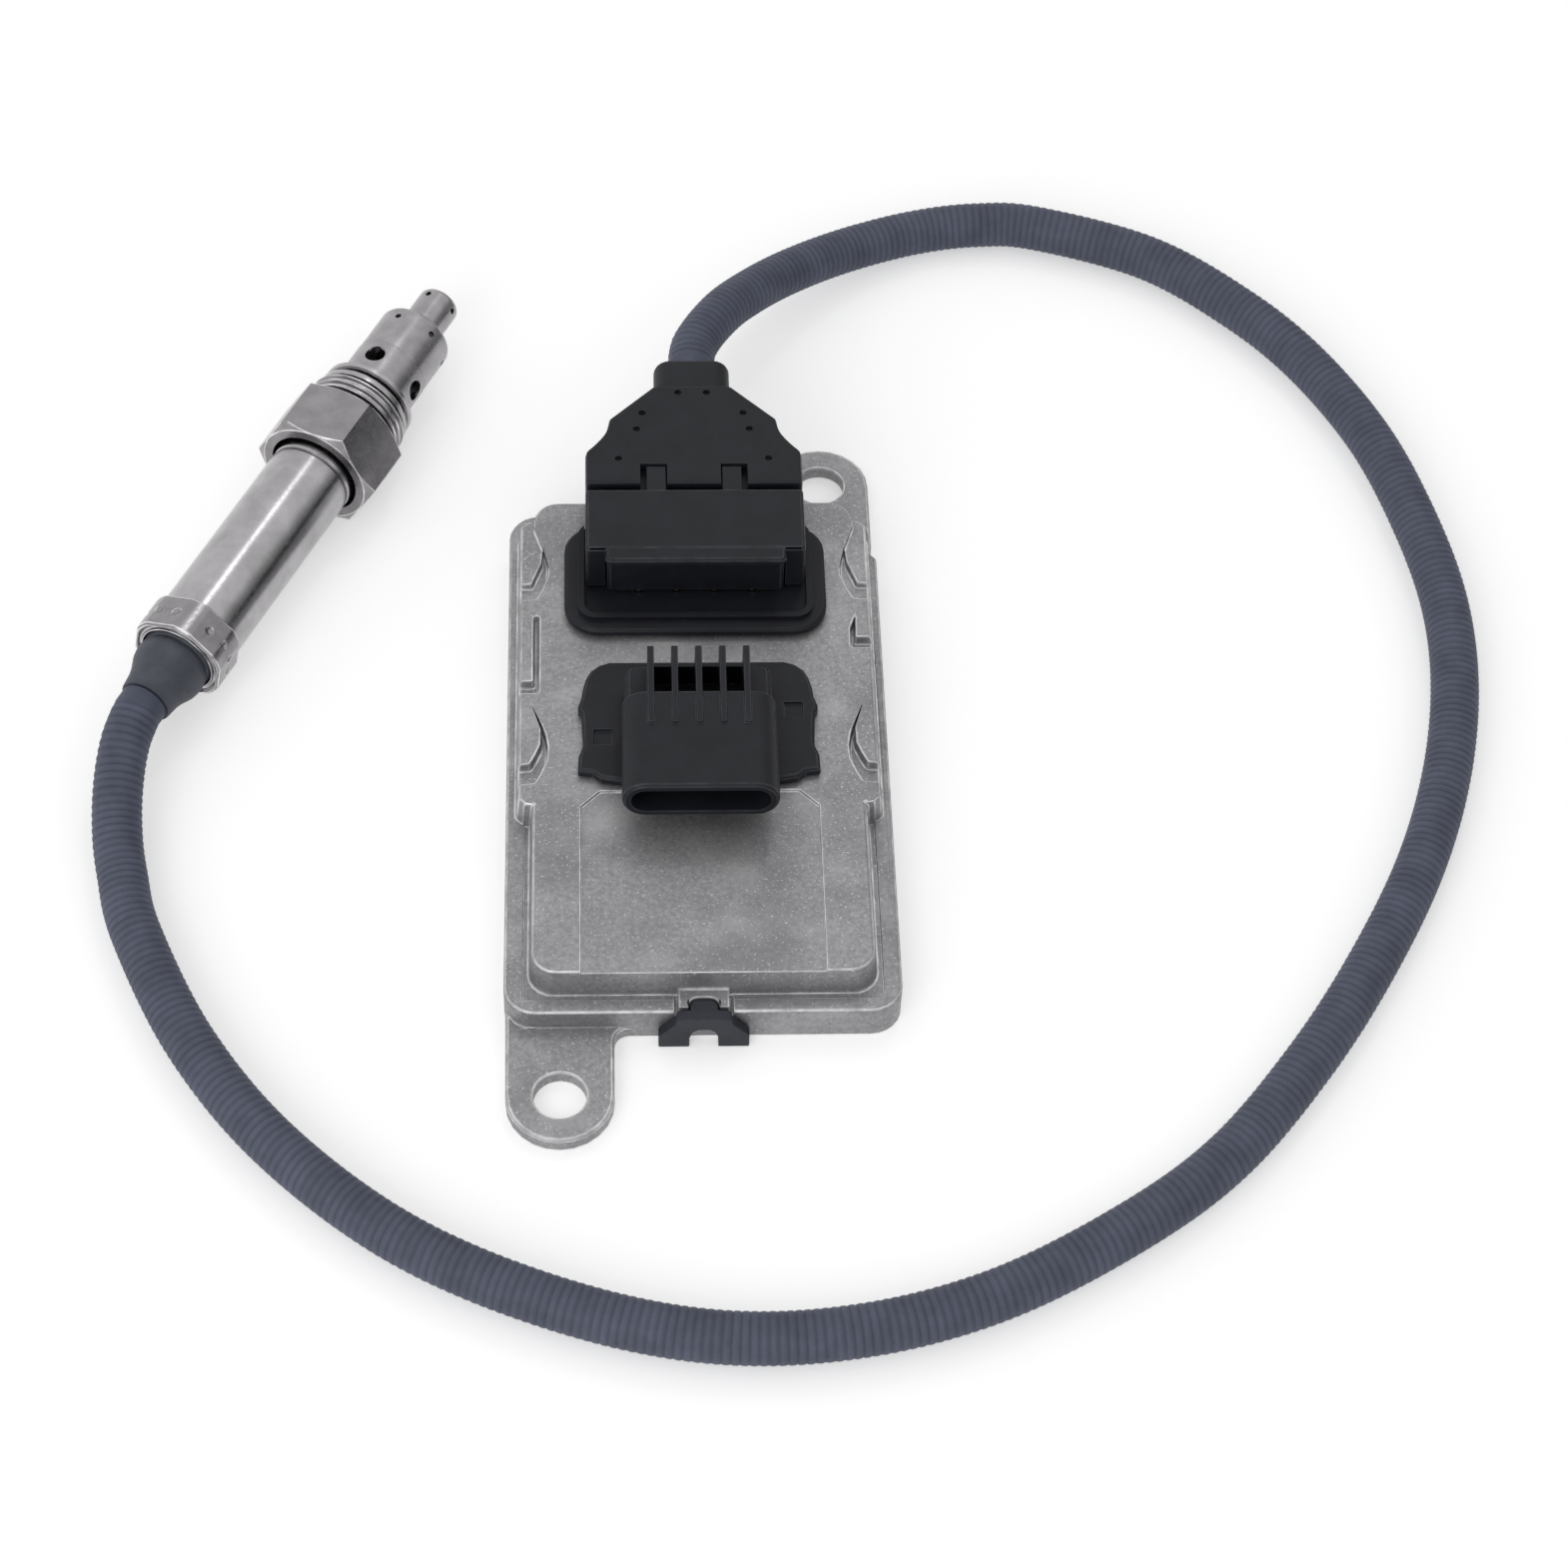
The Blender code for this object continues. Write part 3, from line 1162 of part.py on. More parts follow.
def union_nut(frame):
    """The captive nut: a chamfered hexagon and a threaded barrel that turn on the probe."""
    mesh = bpy.data.meshes.new("union_nut")
    form = bmesh.new()
    corner_radius = HEX_ACROSS_FLATS / 2 / math.cos(math.pi / 6)
    turn = Matrix.Rotation(math.pi / 6, 4, "Z")
    bmesh.ops.create_cone(
        form,
        cap_ends=True,
        segments=6,
        radius1=corner_radius,
        radius2=corner_radius,
        depth=HEX_LENGTH,
        matrix=Matrix.Translation((0, 0, HEX_START + HEX_LENGTH / 2)) @ turn,
    )
    form.to_mesh(mesh)
    form.free()
    nut = bpy.data.objects.new("union_nut", mesh)
    bpy.context.scene.collection.objects.link(nut)
    on_probe(nut, frame, STEEL)
    hex_end = HEX_START + HEX_LENGTH
    face = HEX_ACROSS_FLATS / 2 - 0.2 * MM
    beyond = corner_radius + HEX_CHAMFER
    chamfer = turned(
        "hex_chamfer",
        [
            (0.0, hex_end + WALL),
            (face - 2 * WALL, hex_end + WALL),
            (face, hex_end),
            (beyond, hex_end - (beyond - face) * 0.58),
            (beyond, HEX_START + (beyond - face) * 0.58),
            (face, HEX_START),
            (face - 2 * WALL, HEX_START - WALL),
            (0.0, HEX_START - WALL),
        ],
        30,
    )
    chamfer.parent = frame
    join_shape(nut, chamfer, "INTERSECT")
    thread = turned(
        "thread_barrel",
        [
            (0.0, THREAD_END),
            (THREAD_RADIUS - THREAD_RELIEF, THREAD_END),
            (THREAD_RADIUS, THREAD_END - THREAD_RELIEF),
            (THREAD_RADIUS, hex_end + 2 * THREAD_RELIEF),
            (THREAD_RADIUS - THREAD_RELIEF, hex_end + THREAD_RELIEF),
            (THREAD_RADIUS - THREAD_RELIEF, hex_end - THREAD_RELIEF),
            (0.0, hex_end - THREAD_RELIEF),
        ],
        30,
    )
    thread.parent = frame
    join_shape(nut, thread)
    bore = turned(
        "nut_bore",
        [
            (0.0, THREAD_END + WALL),
            (TUBE_RADIUS + GAP, THREAD_END + WALL),
            (TUBE_RADIUS + GAP, hex_end - WALL),
            (NUT_REAR_BORE, hex_end - 2 * WALL),
            (NUT_REAR_BORE, HEX_START - WALL),
            (0.0, HEX_START - WALL),
        ],
        28,
    )
    bore.parent = frame
    cut(nut, bore)
    return nut


def sensor_body(frame):
    """The turned steel body inside the nut, with the flange that the nut presses on."""
    flange_rear = THREAD_END + GAP
    flange_front = flange_rear + SENSOR_FLANGE_LENGTH
    rear = CERAMIC_START - 2.0 * MM
    body = turned(
        "sensor_body",
        [
            (SPIGOT_RADIUS, SPIGOT_END),
            (SPIGOT_RADIUS, flange_front),
            (FLANGE_RADIUS - SENSOR_FLANGE_LENGTH / 2, flange_front),
            (FLANGE_RADIUS, flange_front - SENSOR_FLANGE_LENGTH / 2),
            (FLANGE_RADIUS, flange_rear),
            (TUBE_RADIUS, flange_rear),
            (TUBE_RADIUS, TUBE_END + GAP),
            (TUBE_RADIUS - TUBE_WALL - GAP, TUBE_END + GAP),
            (TUBE_RADIUS - TUBE_WALL - GAP, rear),
            (BODY_BORE, rear),
            (BODY_BORE, CERAMIC_END + GAP),
            (BODY_BORE - 1.4 * MM, CERAMIC_END + GAP),
            (BODY_BORE - 1.4 * MM, SPIGOT_END),
        ],
        26,
        closed=True,
    )
    on_probe(body, frame, STEEL)
    seal_low = flange_front + GAP
    seal = ring(
        "seal_ring", SEAL_RING_RADIUS, CAP_RADIUS + GAP, seal_low, seal_low + SEAL_RING_THICKNESS, 26
    )
    on_probe(seal, frame, STEEL)
    return flange_front


def probe_tube(frame):
    """The long steel tube and the crimp collar at its cable end."""
    tube = ring("probe_tube", TUBE_RADIUS, TUBE_RADIUS - TUBE_WALL, TUBE_START, TUBE_END, 32)
    on_probe(tube, frame, STEEL)
    inner = TUBE_RADIUS + GAP
    outer = inner + COLLAR_WALL
    lip = GROMMET_BULGE + GAP
    collar = turned(
        "crimp_collar",
        [
            (inner, COLLAR_LENGTH),
            (outer, COLLAR_LENGTH),
            (outer, COLLAR_LIP),
            (outer - COLLAR_LIP, 0.0),
            (lip, 0.0),
            (lip, COLLAR_LIP),
            (inner, COLLAR_LIP),
        ],
        2 * COLLAR_SIDES,
        closed=True,
    )
    on_probe(collar, frame, STEEL)
    for index in range(COLLAR_SIDES):
        angle = 2 * math.pi * index / COLLAR_SIDES
        dimple = bpy.data.meshes.new("crimp_dimple")
        form = bmesh.new()
        reach = outer + CRIMP_RADIUS - CRIMP_DEPTH
        centre = (reach * math.cos(angle), reach * math.sin(angle), COLLAR_LENGTH / 2)
        bmesh.ops.create_icosphere(
            form, subdivisions=1, radius=CRIMP_RADIUS, matrix=Matrix.Translation(centre)
        )
        form.to_mesh(dimple)
        form.free()
        holder = bpy.data.objects.new(f"crimp_dimple_{index}", dimple)
        bpy.context.scene.collection.objects.link(holder)
        holder.parent = frame
        cut(collar, holder)


def protection_caps(frame, flange_front):
    """The perforated outer cap and the slim inner cap that stands out of it."""
    inner_radius = CAP_RADIUS - CAP_WALL
    start = flange_front + GAP
    hole = INNER_CAP_RADIUS + GAP
    outer = turned(
        "outer_cap",
        [
            (hole, CAP_END),
            (CAP_RADIUS - CAP_SHOULDER, CAP_END),
            (CAP_RADIUS - 0.3 * CAP_SHOULDER, CAP_END - 0.3 * CAP_SHOULDER),
            (CAP_RADIUS, CAP_END - CAP_SHOULDER),
            (CAP_RADIUS, start),
            (inner_radius, start),
            (inner_radius, CAP_END - CAP_SHOULDER),
            (inner_radius - 0.3 * CAP_SHOULDER, CAP_END - CAP_WALL - 0.3 * CAP_SHOULDER),
            (inner_radius - CAP_SHOULDER, CAP_END - CAP_WALL),
            (hole, CAP_END - CAP_WALL),
        ],
        26,
        closed=True,
    )
    on_probe(outer, frame, STEEL)
    span = (inner_radius - CAP_WALL, CAP_RADIUS + CAP_WALL)
    ring_of_holes(outer, frame, CAP_HOLE_RADIUS, CAP_HOLE_STATION, CAP_HOLE_COUNT, CAP_HOLE_TURN, span, 12)
    ring_of_holes(outer, frame, VENT_RADIUS, VENT_STATION, VENT_COUNT, VENT_TURN, span, 6)
    foot = SPIGOT_END + GAP
    bore = INNER_CAP_RADIUS - INNER_CAP_WALL
    inner = turned(
        "inner_cap",
        [
            (VENT_RADIUS, INNER_CAP_END),
            (INNER_CAP_RADIUS - CAP_WALL, INNER_CAP_END),
            (INNER_CAP_RADIUS, INNER_CAP_END - CAP_WALL),
            (INNER_CAP_RADIUS, foot + CAP_WALL),
            (SPIGOT_RADIUS, foot + CAP_WALL),
            (SPIGOT_RADIUS, foot),
            (bore, foot),
            (bore, INNER_CAP_END - INNER_CAP_WALL - CAP_WALL / 2),
            (VENT_RADIUS, INNER_CAP_END - INNER_CAP_WALL),
        ],
        20,
        closed=True,
    )
    on_probe(inner, frame, STEEL)
    span = (bore - CAP_WALL, INNER_CAP_RADIUS + CAP_WALL)
    ring_of_holes(
        inner, frame, VENT_RADIUS, INNER_VENT_STATION, INNER_VENT_COUNT, INNER_VENT_TURN, span, 6
    )


def ring_of_holes(cap, frame, radius, station, count, turn, span, steps):
    """Drill a ring of round holes through a cap's side wall."""
    for index in range(count):
        name = f"{cap.name}_drill_{station / MM:.0f}_{index}"
        drill = rod(name, radius, span[0], span[1], steps)
        drill.parent = frame
        drill.rotation_euler = (0, math.pi / 2, turn + 2 * math.pi * index / count)
        drill.location = (0, 0, station)
        cut(cap, drill)


def ceramics(frame):
    """The sensing element, the bushes that seal it and the rear terminal block."""
    element = block(
        "sensing_element",
        (-ELEMENT_WIDTH / 2, -ELEMENT_THICKNESS / 2, ELEMENT_START),
        (ELEMENT_WIDTH / 2, ELEMENT_THICKNESS / 2, ELEMENT_END),
    )
    on_probe(element, frame, CERAMIC)
    pitch = (CERAMIC_END - CERAMIC_START) / CERAMIC_COUNT
    names = ("rear_ceramic_bush", "powder_packing", "front_ceramic_bush")
    for index, name in enumerate(names):
        low = CERAMIC_START + pitch * index
        bush = rod(name, BODY_BORE - GAP, low + GAP / 2, low + pitch - GAP / 2, 18)
        cut_for_element(bush, frame, name)
    holder = rod(
        "terminal_block",
        TUBE_RADIUS - TUBE_WALL - GAP,
        TERMINAL_BLOCK_START,
        TERMINAL_BLOCK_START + TERMINAL_BLOCK_LENGTH,
        24,
    )
    cut_for_element(holder, frame, "terminal_block")


def cut_for_element(bush, frame, name):
    """Place a ceramic piece and open the slot that the sensing element passes through."""
    on_probe(bush, frame, CERAMIC)
    slot = block(
        name + "_slot",
        (-ELEMENT_WIDTH / 2 - GAP, -ELEMENT_THICKNESS / 2 - GAP, ELEMENT_START - GAP),
        (ELEMENT_WIDTH / 2 + GAP, ELEMENT_THICKNESS / 2 + GAP, ELEMENT_END + GAP),
    )
    slot.parent = frame
    cut(bush, slot)


def grommet(frame):
    """The rubber grommet, narrowing from the collar to the cable."""
    seat = TUBE_RADIUS - TUBE_WALL - GAP
    end = -GROMMET_LENGTH
    profile = [
        (0.0, GROMMET_INSIDE),
        (seat - 0.5 * MM, GROMMET_INSIDE),
        (seat, GROMMET_INSIDE - 0.5 * MM),
        (seat, TUBE_START - GAP),
        (GROMMET_BULGE - 0.6 * MM, 0.0),
        (GROMMET_BULGE, -0.16 * GROMMET_LENGTH),
        (GROMMET_BULGE - 0.2 * MM, -0.34 * GROMMET_LENGTH),
        (GROMMET_BULGE - 1.1 * MM, -0.52 * GROMMET_LENGTH),
        (CABLE_RADIUS + 0.7 * MM, -0.74 * GROMMET_LENGTH),
        (CABLE_RADIUS + 0.4 * MM, end),
        (0.0, end),
    ]
    piece = turned("grommet", profile, 20)
    on_probe(piece, frame, RUBBER)


def smooth_route(points, count):
    """Evenly spaced points on a smooth curve through the given ones."""
    nodes = [Vector(point) for point in points]
    padded = [2 * nodes[0] - nodes[1]] + nodes + [2 * nodes[-1] - nodes[-2]]
    fine = []
    pieces = 12
    for index in range(1, len(padded) - 2):
        before, start, end, after = padded[index - 1:index + 3]
        for step in range(pieces):
            t = step / pieces
            fine.append(
                0.5
                * (
                    2 * start
                    + (end - before) * t
                    + (2 * before - 5 * start + 4 * end - after) * t ** 2
                    + (3 * start - before - 3 * end + after) * t ** 3
                )
            )
    fine.append(nodes[-1])
    travelled = [0.0]
    for first, second in zip(fine, fine[1:]):
        travelled.append(travelled[-1] + (second - first).length)
    even = []
    index = 0
    for number in range(count):
        target = travelled[-1] * number / (count - 1)
        while index < len(fine) - 2 and travelled[index + 1] < target:
            index += 1
        span = travelled[index + 1] - travelled[index]
        even.append(fine[index].lerp(fine[index + 1], (target - travelled[index]) / span))
    return even


def cable(frame):
    """The cable from the hood's neck to the grommet, as a plain tube."""
    neck_middle = HOOD_TOP - HOOD_EDGE / 2 - NECK_HEIGHT / 2
    start = Vector((0.0, NECK_END + GAP, neck_middle))
    bpy.context.view_layer.update()
    along = frame.matrix_world.to_3x3() @ Vector((0, 0, 1))
    end = frame.matrix_world.translation - along * (GROMMET_LENGTH + GAP)
    leaving = start + Vector((0.0, CABLE_LEAD, 0.0))
    arriving = end - along * CABLE_LEAD
    route = [leaving] + [Vector(point) * MM for point in CABLE_ROUTE] + [arriving]
    points = [start] + smooth_route(route, CABLE_POINT_COUNT - 2) + [end]
    holder = tube_along("cable", [tuple(point) for point in points], CABLE_RADIUS, 3)
    place(holder, RUBBER)


def main():
    """Build every piece."""
    housing()
    base_parts()
    board_parts()
    vehicle_connector()
    sensor_header()
    plug()
    front_clip()
    frame = probe_frame()
    union_nut(frame)
    flange_front = sensor_body(frame)
    probe_tube(frame)
    protection_caps(frame, flange_front)
    ceramics(frame)
    grommet(frame)
    cable(frame)


main()
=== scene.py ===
"""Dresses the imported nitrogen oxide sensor: cast control unit, connectors, cable and probe.

Metres, +Z up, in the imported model's own frame. Pieces are modelled round the CAD nodes,
which stay where they are, and the stage, light and camera follow the photograph.
"""
import functools
import json
import math

import bmesh
import bpy
import numpy as np
from mathutils import Matrix, Vector


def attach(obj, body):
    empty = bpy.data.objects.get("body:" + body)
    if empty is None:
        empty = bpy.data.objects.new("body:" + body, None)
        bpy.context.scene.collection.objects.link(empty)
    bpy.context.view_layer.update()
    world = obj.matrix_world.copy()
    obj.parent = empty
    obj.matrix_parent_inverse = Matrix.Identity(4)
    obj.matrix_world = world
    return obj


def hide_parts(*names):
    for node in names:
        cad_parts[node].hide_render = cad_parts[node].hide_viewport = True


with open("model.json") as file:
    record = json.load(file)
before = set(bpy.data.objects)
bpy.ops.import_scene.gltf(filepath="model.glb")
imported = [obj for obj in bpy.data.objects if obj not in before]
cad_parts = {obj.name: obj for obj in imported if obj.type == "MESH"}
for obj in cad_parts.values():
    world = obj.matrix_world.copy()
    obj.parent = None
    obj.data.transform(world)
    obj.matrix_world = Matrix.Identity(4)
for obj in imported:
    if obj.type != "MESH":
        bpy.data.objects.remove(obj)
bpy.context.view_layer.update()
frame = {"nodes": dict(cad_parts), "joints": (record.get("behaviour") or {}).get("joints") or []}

bl_info = {
    "name": "Nitrogen oxide sensor looks",
    "version": (1, 0, 0),
    "blender": (4, 5, 0),
    "location": "View3D > Sidebar > Sensor",
    "description": "Builds the finished pieces, materials and stage of an exhaust gas sensor",
    "category": "Object",
}

MM = 0.001
WELD_DISTANCE = 0.001 * MM

# The probe's axis, from the nut's own joint
NUT_JOINT = frame["joints"][0]

# Sizes of the probe, as in the CAD source, with stations measured along its axis
TUBE_RADIUS = 8.2 * MM
TUBE_WALL = 0.7 * MM
TUBE_START = 1.2 * MM
TUBE_END = 58.0 * MM
COLLAR_RADIUS = 9.2 * MM
COLLAR_LENGTH = 7.9 * MM
GROMMET_RADIUS = 7.2 * MM
HEX_START = 51.5 * MM
HEX_END = 64.2 * MM
HEX_HALF_FLATS = 11.0 * MM
HEX_CHAMFER = 1.3 * MM
CHAMFER_SLOPE = 0.58
CUT_MARGIN = 2.2 * MM
THREAD_RADIUS = 10.0 * MM
THREAD_END = 69.4 * MM
NUT_BORE = 9.0 * MM
NUT_NECK_BORE = 8.5 * MM
SEAL_RADIUS = 9.3 * MM
SEAL_BORE = 7.8 * MM
SEAL_START = 72.2 * MM
SEAL_END = 73.5 * MM
OUTER_CAP_RADIUS = 7.5 * MM
OUTER_CAP_END = 92.6 * MM
INNER_CAP_RADIUS = 4.1 * MM
INNER_CAP_END = 102.3 * MM
CAP_WALL = 0.5 * MM
CAP_HOLE_RADIUS = 2.0 * MM
CAP_VENT_RADIUS = 0.6 * MM

# Forms that only the finished pieces have: the tube's groove and the flats of the collar
GROOVE_START = 49.2 * MM
GROOVE_END = 50.4 * MM
COLLAR_HALF_FLATS = 8.68 * MM

# The collar's crimping: the angles of its first ridge and first dent, in degrees, and dents
# in groups of four with a gap after each
FIRST_RIDGE = 100.8
FIRST_DENT = 128.3
DENT_PLACES = 15
DENT_GROUP = 5
DENT_BALL = 1.2 * MM

# The grommet's outline: radius and station along the probe, in millimetres
GROMMET_OUTLINE = [
    (6.7, 8.0), (7.2, 7.5), (7.2, 0.9), (6.3, 0.0), (6.75, -0.9), (6.9, -1.9), (6.85, -3.0),
    (6.6, -4.2), (6.1, -5.4), (5.6, -6.6), (5.25, -8.0), (5.05, -9.6), (4.9, -10.8), (4.75, -11.0),
]

# Camera fitted to the photograph
PHOTO_PIXELS = 1570
FOCAL_PIXELS = 3909.25
SENSOR_WIDTH = 36.0
CAMERA_PLACE = (-0.015407, -0.441233, 0.56362)
CAMERA_FORWARD = (0.04368, 0.61413, -0.78801)
CAMERA_UP = (0.00697, 0.78855, 0.61492)

# The cable's way from the hood to the probe, as in the CAD source
CABLE_START = (0.0, 0.081, 0.02005)
CABLE_LEAVING = (0.0, 0.084, 0.02005)
CABLE_ROUTE = [
    (0.0009, 0.0905, 0.0195), (0.0049, 0.0990, 0.0181), (0.0100, 0.1072, 0.0156),
    (0.0194, 0.1186, 0.0112), (0.0320, 0.1296, 0.0068), (0.0467, 0.1371, 0.0046),
    (0.0598, 0.1393, 0.0046), (0.0720, 0.1383, 0.0046), (0.0942, 0.1296, 0.0046),
    (0.1111, 0.1152, 0.0046), (0.1230, 0.1002, 0.0046), (0.1330, 0.0806, 0.0046),
    (0.1389, 0.0602, 0.0046), (0.1423, 0.0385, 0.0046), (0.1417, 0.0176, 0.0046),
    (0.1372, -0.0043, 0.0046), (0.1292, -0.0260, 0.0046), (0.1174, -0.0480, 0.0046),
    (0.1044, -0.0676, 0.0046), (0.0888, -0.0863, 0.0046), (0.0712, -0.1000, 0.0046),
    (0.0478, -0.1128, 0.0046), (0.0241, -0.1194, 0.0046), (0.0, -0.1200, 0.0046),
    (-0.0250, -0.1136, 0.0046), (-0.0506, -0.1010, 0.0046), (-0.0725, -0.0823, 0.0046),
    (-0.0882, -0.0612, 0.0046), (-0.0991, -0.0380, 0.0046), (-0.1025, -0.0250, 0.0047),
    (-0.1039, -0.0160, 0.0060), (-0.1041, -0.0075, 0.0081), (-0.1033, 0.0004, 0.0100),
]
CABLE_END = (-0.100295, 0.009214, 0.011)
CABLE_LEAD = 3.0 * MM
CABLE_DIAMETER = 9.0 * MM
CABLE_RINGS = 1800
CABLE_SIDES = 20


class CableSettings(bpy.types.PropertyGroup):
    """Sizes and colour of the cable sleeve."""

    rib_pitch: bpy.props.FloatProperty(
        name="Rib pitch", description="Distance between the sleeve's ribs",
        default=1.5 * MM, unit="LENGTH",
    )
    rib_depth: bpy.props.FloatProperty(
        name="Rib depth", description="How far the grooves between the ribs go in",
        default=0.18 * MM, unit="LENGTH",
    )
    sleeve_colour: bpy.props.FloatVectorProperty(
        name="Sleeve colour", description="Colour of the cable sleeve",
        default=(0.098, 0.110, 0.156), subtype="COLOR",
    )


class CastingSettings(bpy.types.PropertyGroup):
    """Edges and finish of the die casting."""

    edge_round: bpy.props.FloatProperty(
        name="Edge rounding", description="Width of the casting's rounded edges",
        default=0.4 * MM, unit="LENGTH",
    )
    metal_colour: bpy.props.FloatVectorProperty(
        name="Metal colour", description="Colour of the bare casting",
        default=(0.318, 0.314, 0.324), subtype="COLOR",
    )


class PlasticSettings(bpy.types.PropertyGroup):
    """Edges and colour of the moulded connectors."""

    edge_round: bpy.props.FloatProperty(
        name="Edge rounding", description="Width of the mouldings' rounded edges",
        default=0.2 * MM, unit="LENGTH",
    )
    plastic_colour: bpy.props.FloatVectorProperty(
        name="Plastic colour", description="Colour of the black mouldings",
        default=(0.0105, 0.0115, 0.0155), subtype="COLOR",
    )


class ProbeSettings(bpy.types.PropertyGroup):
    """Thread, crimps and steel of the probe."""

    thread_pitch: bpy.props.FloatProperty(
        name="Thread pitch", description="Distance between the nut's thread ridges",
        default=1.5 * MM, unit="LENGTH",
    )
    crimp_depth: bpy.props.FloatProperty(
        name="Crimp depth", description="How deep the collar's crimps are pressed",
        default=0.42 * MM, unit="LENGTH",
    )
    steel_colour: bpy.props.FloatVectorProperty(
        name="Steel colour", description="Colour of the bright steel",
        default=(0.39, 0.38, 0.39), subtype="COLOR",
    )


# Modelling helpers


def deselect():
    """Leave edit mode and select nothing."""
    if bpy.context.mode != "OBJECT":
        bpy.ops.object.mode_set(mode="OBJECT")
    bpy.ops.object.select_all(action="DESELECT")


def pick(obj):
    """Select one object alone and make it active."""
    deselect()
    obj.select_set(True)
    bpy.context.view_layer.objects.active = obj
    return obj


def settle(obj):
    """Put the object's own place, turn and size into its mesh."""
    pick(obj)
    bpy.ops.object.transform_apply(location=True, rotation=True, scale=True)
    return obj


def smooth(obj, angle=35.0):
    """Shade smooth, with edges past the angle kept sharp and large faces kept flat."""
    pick(obj)
    bpy.ops.object.shade_smooth_by_angle(angle=math.radians(angle))
    return apply_modifier(obj, "WEIGHTED_NORMAL", keep_sharp=True, weight=100)


def apply_modifier(obj, kind, **values):
    """Add one modifier, set it and apply it."""
    pick(obj)
    bpy.ops.object.modifier_add(type=kind)
    modifier = obj.modifiers[-1]
    for key, value in values.items():
        setattr(modifier, key, value)
    bpy.ops.object.modifier_apply(modifier=modifier.name)
    return obj


def edge_room(edge, angle):
    """The widest bevel that an edge's neighbours leave room for, less than half of each."""
    share, least_slope = 0.45, 0.01
    room = math.inf
    for loop in edge.link_loops:
        for near, corner in (
            (loop.link_loop_prev.edge, loop.vert),
            (loop.link_loop_next.edge, loop.link_loop_next.vert),
        ):
            along = edge.other_vert(corner).co - corner.co
            aside = near.other_vert(corner).co - corner.co
            between = along.angle(aside, math.pi)
            shorter = min(along.length, aside.length)
            if near.calc_face_angle(0.0) > angle:
                slope = max(math.tan((math.pi - between) / 2), least_slope)
                room = min(room, share * shorter / slope)
            else:
                room = min(room, share * aside.length * math.sin(between))
    return room


def round_edges(obj, width, angle=30.0, clamp=False):
    """Bevel the edges sharper than the angle, each as wide as it has room for, and mark the bevels
    for a painted edge highlight.
    """
    limit = math.radians(angle)
    form = bmesh.new()
    form.from_mesh(obj.data)
    weight = form.edges.layers.float.new("bevel_weight_edge")
    for edge in form.edges:
        if len(edge.link_faces) == 2 and edge.calc_face_angle(0.0) > limit:
            edge[weight] = min(1.0, edge_room(edge, limit) / width)
    form.to_mesh(obj.data)
    form.free()
    for _ in range(2):
        obj.data.materials.append(None)
    apply_modifier(
        obj, "BEVEL", width=width, segments=2, limit_method="WEIGHT",
        miter_outer="MITER_ARC", harden_normals=False, use_clamp_overlap=clamp, material=1,
    )
    marks = np.zeros(len(obj.data.polygons), dtype=np.int32)
    corners = np.zeros(len(obj.data.polygons), dtype=np.int32)
    obj.data.polygons.foreach_get("material_index", marks)
    obj.data.polygons.foreach_get("loop_total", corners)
    obj.data.polygons.foreach_set("material_index", np.zeros_like(marks))
    # Bevel faces are marked 1 here; materials that read this attribute paint a highlight on them
    layer = obj.data.attributes.new("painted_highlight_edges", "FLOAT", "CORNER")
    layer.data.foreach_set("value", np.repeat(marks, corners).astype(np.float32))
    return obj


def carve(obj, other, operation="DIFFERENCE"):
    """Cut another object out of this one, or join it on, and remove the other."""
    apply_modifier(obj, "BOOLEAN", operation=operation, solver="EXACT", object=other)
    bpy.data.objects.remove(other, do_unlink=True)
    return obj


def merged_copy(node, name):
    """A welded copy of a CAD node's mesh, to be finished as a piece."""
    deselect()
    obj = bpy.data.objects.new(name, frame["nodes"][node].data.copy())
    bpy.context.scene.collection.objects.link(obj)
    obj.data.materials.clear()
    pick(obj)
    bpy.ops.mesh.customdata_custom_splitnormals_clear()
    bpy.ops.object.mode_set(mode="EDIT")
    bpy.ops.mesh.select_all(action="SELECT")
    bpy.ops.mesh.remove_doubles(threshold=WELD_DISTANCE)
    bpy.ops.mesh.dissolve_limited(angle_limit=math.radians(0.5))
    bpy.ops.object.mode_set(mode="OBJECT")
    return obj


def lathe(name, profile, segments, closed=False):
    """Turn a profile of (radius, height) round Z by extruding a circle along it."""
    deselect()
    radius, height = profile[0]
    bpy.ops.mesh.primitive_circle_add(vertices=segments, radius=radius, location=(0, 0, height))
    obj = bpy.context.object
    obj.name = name
    bpy.ops.object.mode_set(mode="EDIT")
    bpy.ops.mesh.select_all(action="SELECT")
    stations = profile + profile[:1] if closed else profile
    for (old_radius, old_height), (new_radius, new_height) in zip(stations, stations[1:]):
        rise = new_height - old_height
        grow = new_radius / old_radius
        bpy.ops.mesh.extrude_edges_move(TRANSFORM_OT_translate={"value": (0, 0, rise)})
        bpy.ops.transform.resize(value=(grow, grow, 1), center_override=(0, 0, new_height))
    bpy.ops.mesh.select_all(action="SELECT")
    if closed:
        bpy.ops.mesh.remove_doubles(threshold=WELD_DISTANCE)
    else:
        bpy.ops.mesh.fill_holes(sides=0)
    bpy.ops.mesh.normals_make_consistent(inside=False)
    bpy.ops.object.mode_set(mode="OBJECT")
    return settle(obj)


def drill(radius, low, high, matrix):
    """A round cutter whose axis is a matrix's Z axis."""
    deselect()
    bpy.ops.mesh.primitive_cylinder_add(
        vertices=24, radius=radius, depth=high - low, location=(0, 0, (low + high) / 2)
    )
    cutter = settle(bpy.context.object)
    cutter.matrix_world = matrix
    return settle(cutter)


